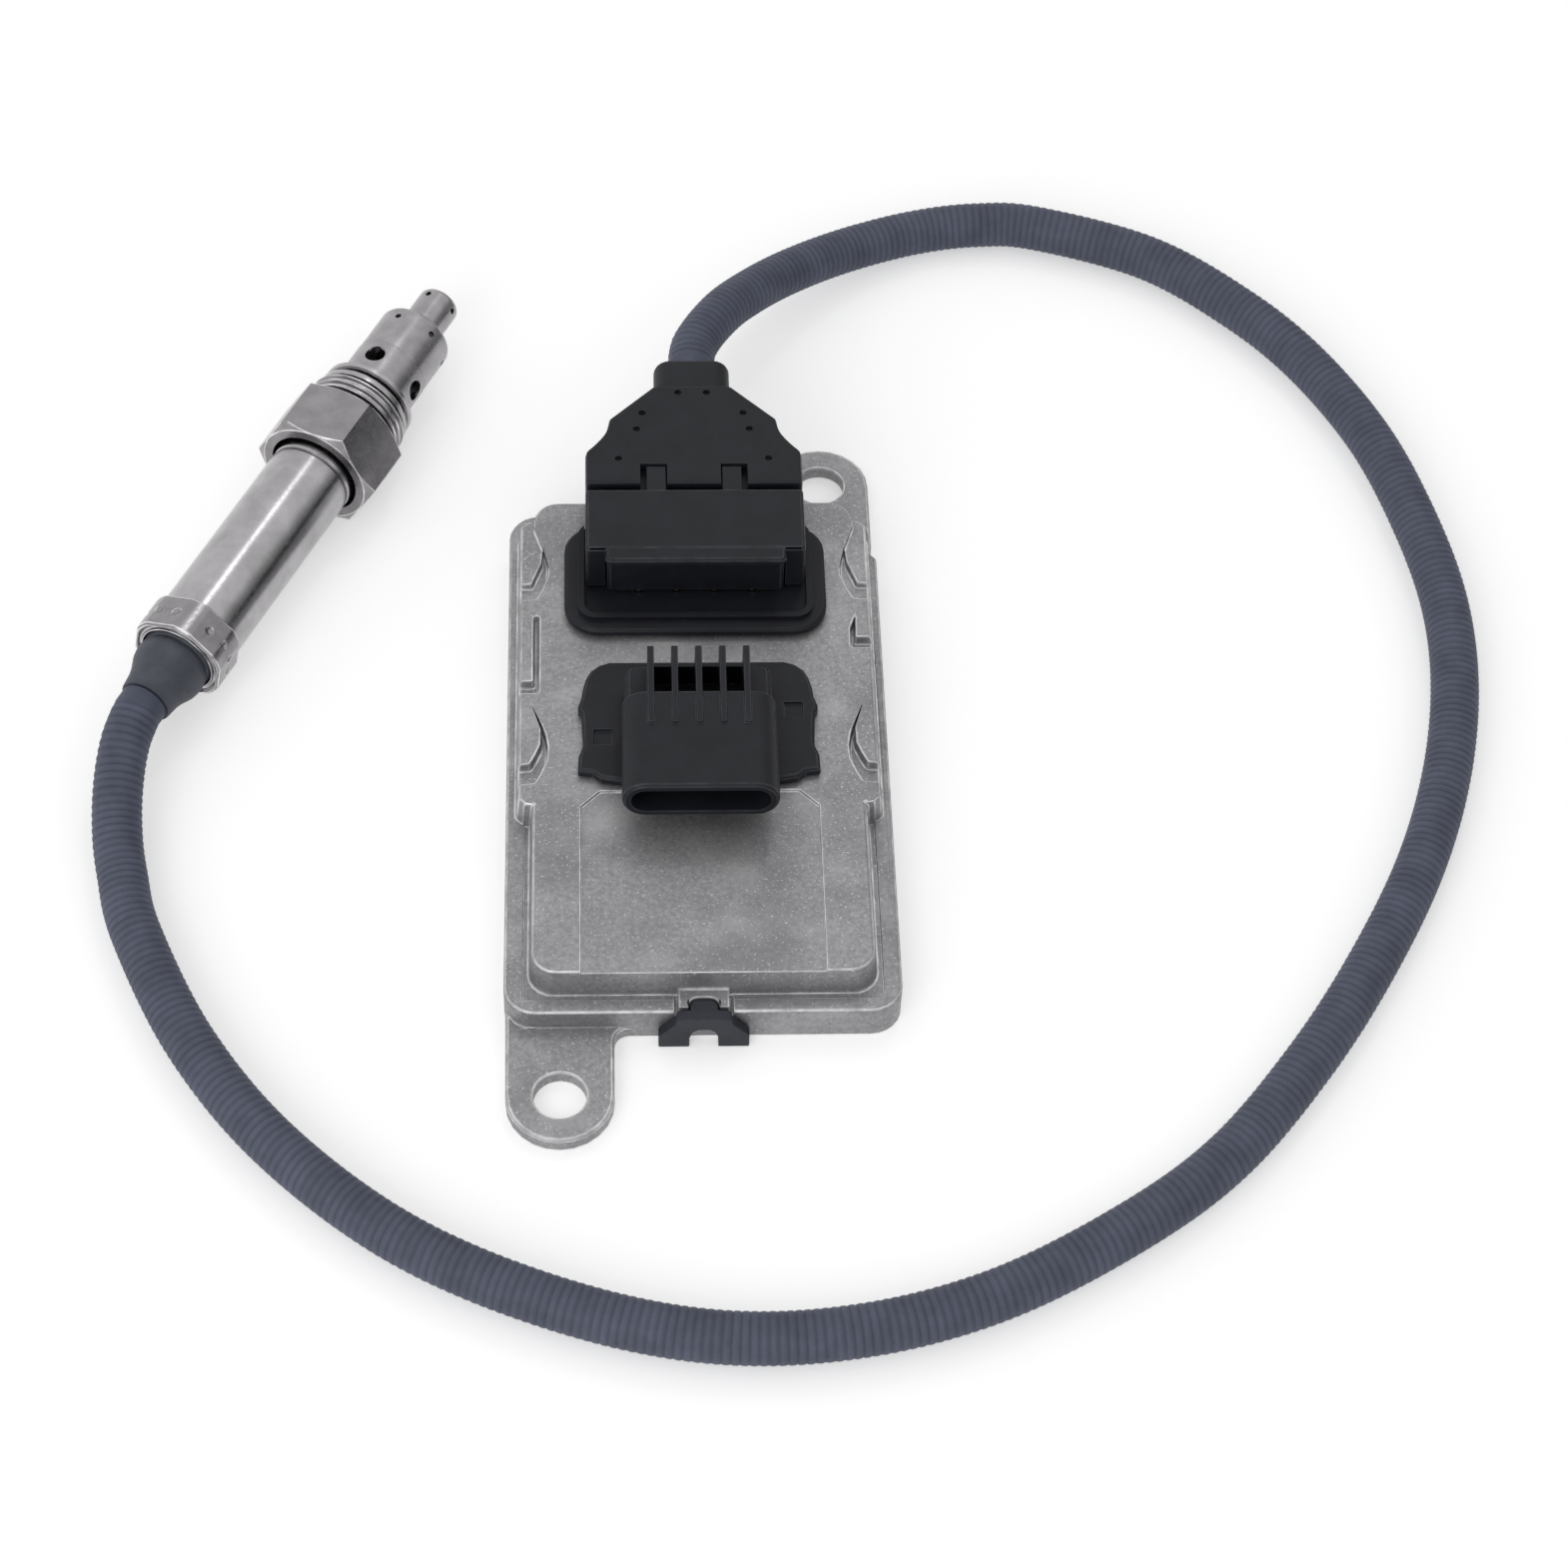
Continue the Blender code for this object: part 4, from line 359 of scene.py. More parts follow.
def probe_matrix():
    """From the probe's own frame, whose Z is its axis and Y is up, to the model's frame."""
    along = Vector(NUT_JOINT["axis"]).normalized()
    up = Vector((0, 0, 1))
    side = up.cross(along)
    turn = Matrix((side, up, along)).transposed().to_4x4()
    return Matrix.Translation(Vector(NUT_JOINT["pos_m"])) @ turn


def on_probe(obj):
    """Lay a piece that was modelled upright along the probe's axis."""
    obj.matrix_world = probe_matrix()
    return settle(obj)


def finish_piece(obj, material, body, slot, *nodes):
    """Give a piece its material and its body, and hide the CAD nodes it stands for; the slot is not
    used.
    """
    obj.data.materials.clear()
    obj.data.materials.append(material)
    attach(obj, body)
    if nodes:
        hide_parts(*nodes)
    return obj


# Shader helpers


def add(tree, kind, **values):
    """Add a node and set its properties and, by name, its inputs."""
    node = tree.nodes.new(kind)
    for key, value in values.items():
        if key.startswith("in_"):
            node.inputs[key[3:].replace("_", " ")].default_value = value
        else:
            setattr(node, key, value)
    return node


def combine(tree, operation, *values):
    """The result of a Math node on sockets and numbers."""
    node = add(tree, "ShaderNodeMath", operation=operation)
    for socket, value in zip(node.inputs, values):
        if isinstance(value, bpy.types.NodeSocket):
            tree.links.new(value, socket)
        else:
            socket.default_value = value
    return node.outputs["Value"]


def ramp(tree, value, low, high, first=0.0, last=1.0, kind="LINEAR"):
    """A value between low and high mapped to the range from first to last, held at both ends."""
    node = add(
        tree, "ShaderNodeMapRange", interpolation_type=kind,
        in_From_Min=low, in_From_Max=high, in_To_Min=first, in_To_Max=last,
    )
    tree.links.new(value, node.inputs["Value"])
    return node.outputs["Result"]


def grain_group():
    """Mottle and fine height that read a position, for metal, plastic and rubber skins."""
    existing = bpy.data.node_groups.get("surface_grain")
    if existing:
        return existing
    group = bpy.data.node_groups.new("surface_grain", "ShaderNodeTree")
    for label, kind, way in (
        ("Vector", "NodeSocketVector", "INPUT"),
        ("Mottle Scale", "NodeSocketFloat", "INPUT"),
        ("Fine Scale", "NodeSocketFloat", "INPUT"),
        ("Mottle", "NodeSocketFloat", "OUTPUT"),
        ("Fine", "NodeSocketFloat", "OUTPUT"),
        ("Height", "NodeSocketFloat", "OUTPUT"),
    ):
        group.interface.new_socket(name=label, in_out=way, socket_type=kind)
    start = add(group, "NodeGroupInput")
    end = add(group, "NodeGroupOutput")
    mottle = add(group, "ShaderNodeTexNoise", in_Detail=5.0, in_Roughness=0.6)
    fine = add(group, "ShaderNodeTexNoise", in_Detail=3.0, in_Roughness=0.7)
    link = group.links.new
    for noise, label in ((mottle, "Mottle"), (fine, "Fine")):
        link(start.outputs["Vector"], noise.inputs["Vector"])
        link(start.outputs[label + " Scale"], noise.inputs["Scale"])
        link(noise.outputs["Fac"], end.inputs[label])
    height = combine(group, "MULTIPLY_ADD", mottle.outputs["Fac"], 0.5, fine.outputs["Fac"])
    link(height, end.inputs["Height"])
    return group


def skin_material(name, shades, rough, metallic, mottle_scale, fine_scale, bump, depth,
                  stretch=(1.0, 1.0, 1.0), specular=0.5):
    """A Principled material with mottled colour, varied roughness and fine relief."""
    material = bpy.data.materials.new(name)
    material.use_nodes = True
    tree = material.node_tree
    shader = tree.nodes["Principled BSDF"]
    shader.inputs["Metallic"].default_value = metallic
    shader.inputs["Specular IOR Level"].default_value = specular
    place = add(tree, "ShaderNodeTexCoord")
    turn = add(tree, "ShaderNodeMapping", in_Scale=stretch)
    grain = add(
        tree, "ShaderNodeGroup", node_tree=grain_group(),
        in_Mottle_Scale=mottle_scale, in_Fine_Scale=fine_scale,
    )
    dark, light = shades
    colour = add(tree, "ShaderNodeMix", data_type="RGBA", in_A=(*dark, 1.0), in_B=(*light, 1.0))
    relief = add(tree, "ShaderNodeBump", in_Strength=bump, in_Distance=depth)
    link = tree.links.new
    link(place.outputs["Object"], turn.inputs["Vector"])
    link(turn.outputs["Vector"], grain.inputs["Vector"])
    link(ramp(tree, grain.outputs["Mottle"], 0.35, 0.65), colour.inputs["Factor"])
    link(colour.outputs["Result"], shader.inputs["Base Color"])
    link(ramp(tree, grain.outputs["Fine"], 0.3, 0.7, *rough), shader.inputs["Roughness"])
    link(grain.outputs["Height"], relief.inputs["Height"])
    link(relief.outputs["Normal"], shader.inputs["Normal"])
    return material


def shades_of(colour, spread):
    """A darker and a lighter shade either side of a colour."""
    return tuple(c * (1 - spread) for c in colour), tuple(c * (1 + spread) for c in colour)


def mix_in(material, mask, colour, rough):
    """Mix another colour and roughness into a skin material where a mask says so."""
    tree = material.node_tree
    shader = tree.nodes["Principled BSDF"]
    finish = {"Base Color": ("RGBA", (*colour, 1.0)), "Roughness": ("FLOAT", rough)}
    for label, (kind, value) in finish.items():
        blend = add(tree, "ShaderNodeMix", data_type=kind, in_B=value)
        tree.links.new(mask, blend.inputs["Factor"])
        tree.links.new(shader.inputs[label].links[0].from_socket, blend.inputs["A"])
        tree.links.new(blend.outputs["Result"], shader.inputs[label])


def patches(material, scale, detail, low, high, first=0.0, last=1.0):
    """A mask that rises from first to last where noise on the object rises from low to high."""
    tree = material.node_tree
    place = add(tree, "ShaderNodeTexCoord")
    noise = add(tree, "ShaderNodeTexNoise", in_Scale=scale, in_Detail=detail)
    tree.links.new(place.outputs["Object"], noise.inputs["Vector"])
    return ramp(tree, noise.outputs["Fac"], low, high, first, last)


def painted_edge_highlights(material, scale, least, most):
    """A mask for the painted highlight on the rounded edges, stronger in some places than in
    others.
    """
    tree = material.node_tree
    edges = add(tree, "ShaderNodeAttribute", attribute_name="painted_highlight_edges")
    highlight_patchiness = patches(material, scale, detail=3.0, low=0.35, high=0.65, first=least, last=most)
    return combine(tree, "MULTIPLY", edges.outputs["Fac"], highlight_patchiness)


def made_once(build):
    """Let a material's function build it once, under its own name, and find it after that."""

    @functools.wraps(build)
    def find_or_build():
        return bpy.data.materials.get(build.__name__) or build(build.__name__)

    return find_or_build


# Materials


@made_once
def cast_metal(name):
    """Bare die-cast aluminium: grainy, stained, with light specks and a painted highlight on its
    rounded edges.
    """
    material = skin_material(
        name, shades_of(bpy.context.scene.sensor_casting.metal_colour, 0.16), rough=(0.36, 0.55),
        metallic=0.6, mottle_scale=1100.0, fine_scale=3600.0, bump=0.5, depth=0.09 * MM,
    )
    dark_stains = patches(material, scale=60.0, detail=4.0, low=0.46, high=0.68, last=0.6)
    mix_in(material, dark_stains, colour=(0.2, 0.2, 0.212), rough=0.5)
    pale_stains = patches(material, scale=85.0, detail=4.0, low=0.5, high=0.72, last=0.45)
    mix_in(material, pale_stains, colour=(0.5, 0.49, 0.5), rough=0.4)
    specks = patches(material, scale=2100.0, detail=2.0, low=0.62, high=0.7)
    mix_in(material, specks, colour=(0.52, 0.52, 0.53), rough=0.34)
    # Painted highlight: the rounded edges are lightened to stand in for the light they catch
    edges = painted_edge_highlights(material, scale=350.0, least=0.35, most=0.95)
    mix_in(material, edges, colour=(0.7, 0.7, 0.71), rough=0.28)
    return material


@made_once
def rolled_metal(name):
    """Rolled aluminium sheet, streaked along Y."""
    return skin_material(
        name, shades_of((0.5, 0.5, 0.51), 0.1), rough=(0.3, 0.42), metallic=1.0,
        mottle_scale=120.0, fine_scale=1800.0, bump=0.15, depth=0.05 * MM,
        stretch=(1.0, 0.08, 1.0),
    )


@made_once
def black_moulding(name):
    """Black glass-filled nylon with a fine moulded grain and a painted highlight on its edges."""
    material = skin_material(
        name, shades_of(bpy.context.scene.sensor_plastic.plastic_colour, 0.2), rough=(0.42, 0.56),
        metallic=0.0, mottle_scale=200.0, fine_scale=3200.0, bump=0.15, depth=0.05 * MM,
        specular=0.26,
    )
    # Painted highlight: the rounded edges are lightened to stand in for the light they catch
    edges = painted_edge_highlights(material, scale=300.0, least=0.3, most=0.9)
    mix_in(material, edges, colour=(0.045, 0.048, 0.058), rough=0.3)
    return material


@made_once
def clip_moulding(name):
    """Slate-grey moulding of the front clip."""
    return skin_material(
        name, ((0.022, 0.024, 0.033), (0.032, 0.035, 0.047)), rough=(0.42, 0.56), metallic=0.0,
        mottle_scale=200.0, fine_scale=3200.0, bump=0.15, depth=0.05 * MM, specular=0.3,
    )


@made_once
def bright_steel(name):
    """Bright stainless steel of the tube, the flange and the sealing ring."""
    return skin_material(
        name, shades_of(bpy.context.scene.sensor_probe.steel_colour, 0.12), rough=(0.18, 0.28),
        metallic=1.0, mottle_scale=180.0, fine_scale=1500.0, bump=0.08, depth=0.02 * MM,
    )


@made_once
def nut_steel(name):
    """Machined steel of the union nut and the collar, duller than the tube, with a painted
    highlight on its edges.
    """
    material = skin_material(
        name, ((0.24, 0.23, 0.24), (0.31, 0.30, 0.31)), rough=(0.2, 0.3), metallic=1.0,
        mottle_scale=260.0, fine_scale=1800.0, bump=0.1, depth=0.02 * MM,
    )
    # Painted highlight: the rounded edges are lightened to stand in for the light they catch
    edges = painted_edge_highlights(material, scale=400.0, least=0.4, most=1.0)
    mix_in(material, edges, colour=(0.82, 0.81, 0.82), rough=0.16)
    return material


@made_once
def cap_steel(name):
    """Pressed steel of the caps, a little warmer and duller."""
    return skin_material(
        name, ((0.29, 0.28, 0.29), (0.37, 0.355, 0.37)), rough=(0.22, 0.34), metallic=1.0,
        mottle_scale=320.0, fine_scale=2200.0, bump=0.1, depth=0.03 * MM,
    )


@made_once
def grommet_rubber(name):
    """Dark moulded rubber."""
    return skin_material(
        name, ((0.050, 0.056, 0.074), (0.074, 0.082, 0.106)), rough=(0.5, 0.68), metallic=0.0,
        mottle_scale=250.0, fine_scale=2400.0, bump=0.25, depth=0.08 * MM,
    )


@made_once
def seal_rubber(name):
    """Orange silicone rubber."""
    return skin_material(
        name, ((0.44, 0.13, 0.03), (0.56, 0.19, 0.05)), rough=(0.5, 0.66), metallic=0.0,
        mottle_scale=220.0, fine_scale=2000.0, bump=0.2, depth=0.05 * MM,
    )


@made_once
def zinc_plate(name):
    """Zinc-plated screw steel."""
    return skin_material(
        name, ((0.46, 0.46, 0.45), (0.60, 0.60, 0.58)), rough=(0.24, 0.38), metallic=1.0,
        mottle_scale=500.0, fine_scale=3000.0, bump=0.15, depth=0.03 * MM,
    )


@made_once
def tinned_metal(name):
    """Tinned brass of the contact pins."""
    return skin_material(
        name, ((0.50, 0.44, 0.30), (0.64, 0.57, 0.40)), rough=(0.22, 0.34), metallic=1.0,
        mottle_scale=600.0, fine_scale=3000.0, bump=0.1, depth=0.02 * MM,
    )


@made_once
def green_laminate(name):
    """Solder-masked board laminate."""
    return skin_material(
        name, ((0.012, 0.09, 0.04), (0.02, 0.14, 0.06)), rough=(0.3, 0.42), metallic=0.0,
        mottle_scale=900.0, fine_scale=3000.0, bump=0.1, depth=0.03 * MM,
    )


@made_once
def chip_moulding(name):
    """Matt black component moulding."""
    return skin_material(
        name, ((0.012, 0.012, 0.013), (0.02, 0.02, 0.021)), rough=(0.5, 0.64), metallic=0.0,
        mottle_scale=700.0, fine_scale=3500.0, bump=0.2, depth=0.04 * MM,
    )


@made_once
def ceramic_body(name):
    """Unglazed technical ceramic."""
    return skin_material(
        name, ((0.72, 0.71, 0.67), (0.84, 0.83, 0.79)), rough=(0.42, 0.56), metallic=0.0,
        mottle_scale=400.0, fine_scale=2600.0, bump=0.12, depth=0.04 * MM,
    )


@made_once
def cable_sleeve(name):
    """The cable's sleeve: slate rubber, with painted shade in the grooves between its ribs."""
    material = skin_material(
        name, shades_of(bpy.context.scene.sensor_cable.sleeve_colour, 0.16), rough=(0.52, 0.66),
        metallic=0.0, mottle_scale=160.0, fine_scale=2200.0, bump=0.25, depth=0.06 * MM,
        specular=0.3,
    )
    tree = material.node_tree
    base = tree.nodes["Principled BSDF"].inputs["Base Color"]
    # Painted shade: the colour is darkened where the grooves go in
    depth = add(tree, "ShaderNodeAttribute", attribute_name="groove")
    shade = add(
        tree, "ShaderNodeMix", data_type="RGBA", blend_type="MULTIPLY",
        in_B=(0.6, 0.61, 0.64, 1.0),
    )
    tree.links.new(depth.outputs["Fac"], shade.inputs["Factor"])
    tree.links.new(base.links[0].from_socket, shade.inputs["A"])
    tree.links.new(shade.outputs["Result"], base)
    return material


# Cable


def smooth_route(points, count):
    """Evenly spaced points on a smooth curve through the given ones, as in the CAD source."""
    nodes = [Vector(point) for point in points]
    padded = [2 * nodes[0] - nodes[1]] + nodes + [2 * nodes[-1] - nodes[-2]]
    fine = []
    steps = 24
    for index in range(1, len(padded) - 2):
        before, start, end, after = padded[index - 1:index + 3]
        for step in range(steps):
            t = step / steps
            fine.append(
                0.5
                * (
                    2 * start
                    + (end - before) * t
                    + (2 * before - 5 * start + 4 * end - after) * t ** 2
                    + (3 * start - before - 3 * end + after) * t ** 3
                )
            )
    fine.append(nodes[-1])
    travelled = np.concatenate(
        ([0.0], np.cumsum([(b - a).length for a, b in zip(fine, fine[1:])]))
    )
    flat = np.array([tuple(point) for point in fine])
    targets = np.linspace(0.0, travelled[-1], count)
    return np.stack([np.interp(targets, travelled, flat[:, axis]) for axis in range(3)], axis=1)


def cable_path():
    """The cable's centre line, from the hood to the grommet."""
    end = Vector(CABLE_END)
    arriving = end - Vector(NUT_JOINT["axis"]).normalized() * CABLE_LEAD
    route = [CABLE_LEAVING] + CABLE_ROUTE + [tuple(arriving)]
    return np.vstack([CABLE_START, smooth_route(route, CABLE_RINGS), tuple(end)])


def travelled_along(path):
    """How far along the path each of its points lies."""
    steps = np.linalg.norm(np.diff(path, axis=0), axis=1)
    return np.concatenate(([0.0], np.cumsum(steps)))


def tube_mesh(name, path, radii, sides):
    """A closed round tube along a path, with one radius for each ring."""
    rings = len(path)
    tangents = np.gradient(path, axis=0)
    tangents /= np.linalg.norm(tangents, axis=1)[:, None]
    across = np.cross(tangents[0], (0.0, 0.0, 1.0))
    across /= np.linalg.norm(across)
    angles = np.linspace(0.0, 2 * math.pi, sides, endpoint=False)
    points = np.empty((rings, sides, 3))
    for index in range(rings):
        along = tangents[index]
        across = across - along * across.dot(along)
        across /= np.linalg.norm(across)
        above = np.cross(along, across)
        spokes = np.outer(np.cos(angles), across) + np.outer(np.sin(angles), above)
        points[index] = path[index] + spokes * radii[index]
    faces = []
    for index in range(rings - 1):
        first, second = index * sides, (index + 1) * sides
        for side in range(sides):
            after = (side + 1) % sides
            faces.append((first + side, first + after, second + after, second + side))
    faces.append(tuple(reversed(range(sides))))
    faces.append(tuple(range((rings - 1) * sides, rings * sides)))
    mesh = bpy.data.meshes.new(name)
    mesh.from_pydata(points.reshape(-1, 3).tolist(), [], faces)
    mesh.update()
    obj = bpy.data.objects.new(name, mesh)
    bpy.context.scene.collection.objects.link(obj)
    pick(obj)
    bpy.ops.object.mode_set(mode="EDIT")
    bpy.ops.mesh.select_all(action="SELECT")
    bpy.ops.mesh.normals_make_consistent(inside=False)
    bpy.ops.object.mode_set(mode="OBJECT")
    return obj


class SENSOR_OT_cable(bpy.types.Operator):
    """Lay the ribbed cable from the hood to the probe"""

    bl_idname = "sensor.cable"
    bl_label = "Cable"

    def execute(self, context):
        settings = context.scene.sensor_cable
        path = cable_path()
        travelled = travelled_along(path)
        phase = travelled / settings.rib_pitch * 2 * math.pi
        groove = (0.5 - 0.5 * np.cos(phase)) ** 3
        radii = CABLE_DIAMETER / 2 - settings.rib_depth * groove
        cable = tube_mesh("sleeved_cable", path, radii, CABLE_SIDES)
        # The groove depth is kept for the sleeve's painted shade
        layer = cable.data.attributes.new("groove", "FLOAT", "POINT")
        layer.data.foreach_set("value", np.repeat(groove, CABLE_SIDES).astype(np.float32))
        smooth(cable, 60.0)
        finish_piece(cable, cable_sleeve(), "sensor", "slate_rubber", "cable")
        return {"FINISHED"}


# Control unit


class SENSOR_OT_casting(bpy.types.Operator):
    """Finish the die-cast housing with rounded edges and bare metal"""

    bl_idname = "sensor.casting"
    bl_label = "Casting"

    def execute(self, context):
        casting = merged_copy("housing_casting", "cast_housing")
        round_edges(casting, context.scene.sensor_casting.edge_round)
        smooth(casting)
        finish_piece(casting, cast_metal(), "sensor", "cast_aluminium", "housing_casting")
        return {"FINISHED"}


# Each moulding's finish, and whether its edges are so crowded that their rounding is held back
MOULDINGS = {
    "connector_shell": (black_moulding, False),
    "sensor_header": (black_moulding, True),
    "plug_body": (black_moulding, False),
    "latch_cover": (black_moulding, False),
    "plug_hood": (black_moulding, True),
    "front_clip": (clip_moulding, False),
}


class SENSOR_OT_mouldings(bpy.types.Operator):
    """Finish the connectors, the hood and the clip in black moulding"""

    bl_idname = "sensor.mouldings"
    bl_label = "Mouldings"

    def execute(self, context):
        width = context.scene.sensor_plastic.edge_round
        for node, (finish, crowded) in MOULDINGS.items():
            piece = merged_copy(node, node + "_moulding")
            round_edges(piece, width, clamp=crowded)
            smooth(piece)
            finish_piece(piece, finish(), "sensor", "black_plastic", node)
        return {"FINISHED"}


# Probe


class SENSOR_OT_union_nut(bpy.types.Operator):
    """Model the union nut with its chamfered hexagon and thread ridges"""

    bl_idname = "sensor.union_nut"
    bl_label = "Union nut"

    def execute(self, context):
        nut = self.hexagon()
        carve(nut, self.thread(context.scene.sensor_probe.thread_pitch), "UNION")
        bore = lathe(
            "nut_bore",
            [
                (NUT_BORE, HEX_START - CUT_MARGIN), (NUT_BORE, HEX_END - 2 * CUT_MARGIN),
                (NUT_NECK_BORE, HEX_END - CUT_MARGIN), (NUT_NECK_BORE, THREAD_END + CUT_MARGIN),
            ],
            segments=96,
        )
        carve(nut, bore)
        smooth(nut)
        on_probe(nut)
        finish_piece(nut, nut_steel(), "nut", "stainless_steel", "union_nut")
        return {"FINISHED"}

    def hexagon(self):
        """The hexagon, with both ends chamfered by a turned shape."""
        corner = HEX_HALF_FLATS / math.cos(math.pi / 6)
        deselect()
        bpy.ops.mesh.primitive_cylinder_add(
            vertices=6, radius=corner, depth=HEX_END - HEX_START,
            location=(0, 0, (HEX_START + HEX_END) / 2), rotation=(0, 0, math.pi / 6),
        )
        nut = settle(bpy.context.object)
        nut.name = "threaded_union_nut"
        face = HEX_HALF_FLATS - 0.2 * MM
        reach = corner + HEX_CHAMFER
        slope = (reach - face) * CHAMFER_SLOPE
        chamfer = lathe(
            "hex_chamfer",
            [
                (face - 2 * CUT_MARGIN, HEX_START - CUT_MARGIN), (face, HEX_START),
                (reach, HEX_START + slope), (reach, HEX_END - slope),
                (face, HEX_END), (face - 2 * CUT_MARGIN, HEX_END + CUT_MARGIN),
            ],
            segments=96,
        )
        carve(nut, chamfer, "INTERSECT")
        return round_edges(nut, 0.16 * MM, angle=25.0)

    def thread(self, pitch):
        """The threaded barrel: a neck, then one ridge for each turn of the thread."""
        root, neck = THREAD_RADIUS - 0.8 * MM, THREAD_RADIUS - 1.2 * MM
        crest_half, root_half = 0.06 * pitch, 0.28 * pitch
        profile = [(neck, HEX_END - 1.2 * MM), (neck, HEX_END + 1.1 * MM)]
        station = HEX_END + 1.6 * MM
        while station < THREAD_END - 0.5 * MM:
            profile += [
                (root, station - root_half), (THREAD_RADIUS, station - crest_half),
                (THREAD_RADIUS, station + crest_half), (root, station + root_half),
            ]
            station += pitch
        profile += [(root, THREAD_END - 0.35 * MM), (root - 0.3 * MM, THREAD_END)]
        return round_edges(lathe("thread_barrel", profile, segments=96), 0.14 * MM, angle=25.0)


class SENSOR_OT_probe_shell(bpy.types.Operator):
    """Model the long tube, the crimped collar and the grommet"""

    bl_idname = "sensor.probe_shell"
    bl_label = "Probe shell"

    def execute(self, context):
        self.tube()
        self.collar(context.scene.sensor_probe.crimp_depth)
        self.grommet()
        return {"FINISHED"}

    def tube(self):
        """The long tube, with a groove before the nut."""
        bore = TUBE_RADIUS - TUBE_WALL
        groove, slope = TUBE_RADIUS - 0.25 * MM, 0.3 * MM
        tube = lathe(
            "polished_tube",
            [
                (TUBE_RADIUS, TUBE_START), (TUBE_RADIUS, GROOVE_START),
                (groove, GROOVE_START + slope), (groove, GROOVE_END - slope),
                (TUBE_RADIUS, GROOVE_END), (TUBE_RADIUS, TUBE_END),
                (bore, TUBE_END), (bore, TUBE_START),
            ],
            segments=96, closed=True,
        )
        round_edges(tube, 0.08 * MM, angle=20.0)
        smooth(tube)
        on_probe(tube)
        finish_piece(tube, bright_steel(), "sensor", "stainless_steel", "probe_tube")

    def grommet(self):
        """The rubber grommet: a plug in the tube and a soft bulge that narrows to the cable."""
        outline = [(radius * MM, station * MM) for radius, station in GROMMET_OUTLINE]
        grommet = lathe("rubber_grommet", outline, segments=72)
        smooth(grommet, 50.0)
        on_probe(grommet)
        finish_piece(grommet, grommet_rubber(), "sensor", "slate_rubber", "grommet")

    def collar(self, crimp_depth):
        """A collar crimped to six flats with rounded ridges and a ring of round dents."""
        bore, lip = TUBE_RADIUS + 0.05 * MM, GROMMET_RADIUS - 0.1 * MM
        collar = lathe(
            "crimped_collar",
            [
                (bore, COLLAR_LENGTH), (COLLAR_RADIUS - 0.4 * MM, COLLAR_LENGTH),
                (COLLAR_RADIUS, COLLAR_LENGTH - 0.35 * MM), (COLLAR_RADIUS, COLLAR_LENGTH / 2),
                (COLLAR_RADIUS, 0.5 * MM), (COLLAR_RADIUS - 0.5 * MM, 0.05 * MM),
                (bore + 0.05 * MM, 0.25 * MM), (lip + 0.8 * MM, 0.75 * MM),
                (lip + 0.45 * MM, 0.75 * MM), (lip + 0.3 * MM, 0.1 * MM), (lip, 0.1 * MM),
                (lip, 1.1 * MM), (bore, 1.1 * MM),
            ],
            segments=144, closed=True,
        )
        for vertex in collar.data.vertices:
            self.flatten(vertex)
        for index in range(DENT_PLACES):
            if index % DENT_GROUP == DENT_GROUP - 1:
                continue
            angle = math.radians(FIRST_DENT + 360 / DENT_PLACES * index)
            surface = min(COLLAR_RADIUS, COLLAR_HALF_FLATS / math.cos(self.from_flat(angle)))
            away = surface + DENT_BALL - crimp_depth
            deselect()
            bpy.ops.mesh.primitive_uv_sphere_add(
                segments=20, ring_count=12, radius=DENT_BALL, rotation=(0, math.pi / 2, angle),
                location=(away * math.cos(angle), away * math.sin(angle), COLLAR_LENGTH / 2),
            )
            carve(collar, settle(bpy.context.object))
        round_edges(collar, 0.14 * MM, angle=25.0)
        smooth(collar)
        on_probe(collar)
        finish_piece(collar, nut_steel(), "sensor", "stainless_steel", "crimp_collar")

    def from_flat(self, angle):
        """The angle from the middle of the nearest of the collar's six flats."""
        sector = math.pi / 3
        return (angle - math.radians(FIRST_RIDGE)) % sector - sector / 2

    def flatten(self, vertex):
        """Draw a vertex of the collar's outside in to the flat it lies on."""
        radius = math.hypot(vertex.co.x, vertex.co.y)
        if radius < COLLAR_RADIUS - 0.6 * MM:
            return
        angle = math.atan2(vertex.co.y, vertex.co.x)
        inset = COLLAR_RADIUS - radius
        limit = COLLAR_HALF_FLATS / math.cos(self.from_flat(angle)) - inset
        if limit < radius:
            vertex.co.x *= limit / radius
            vertex.co.y *= limit / radius


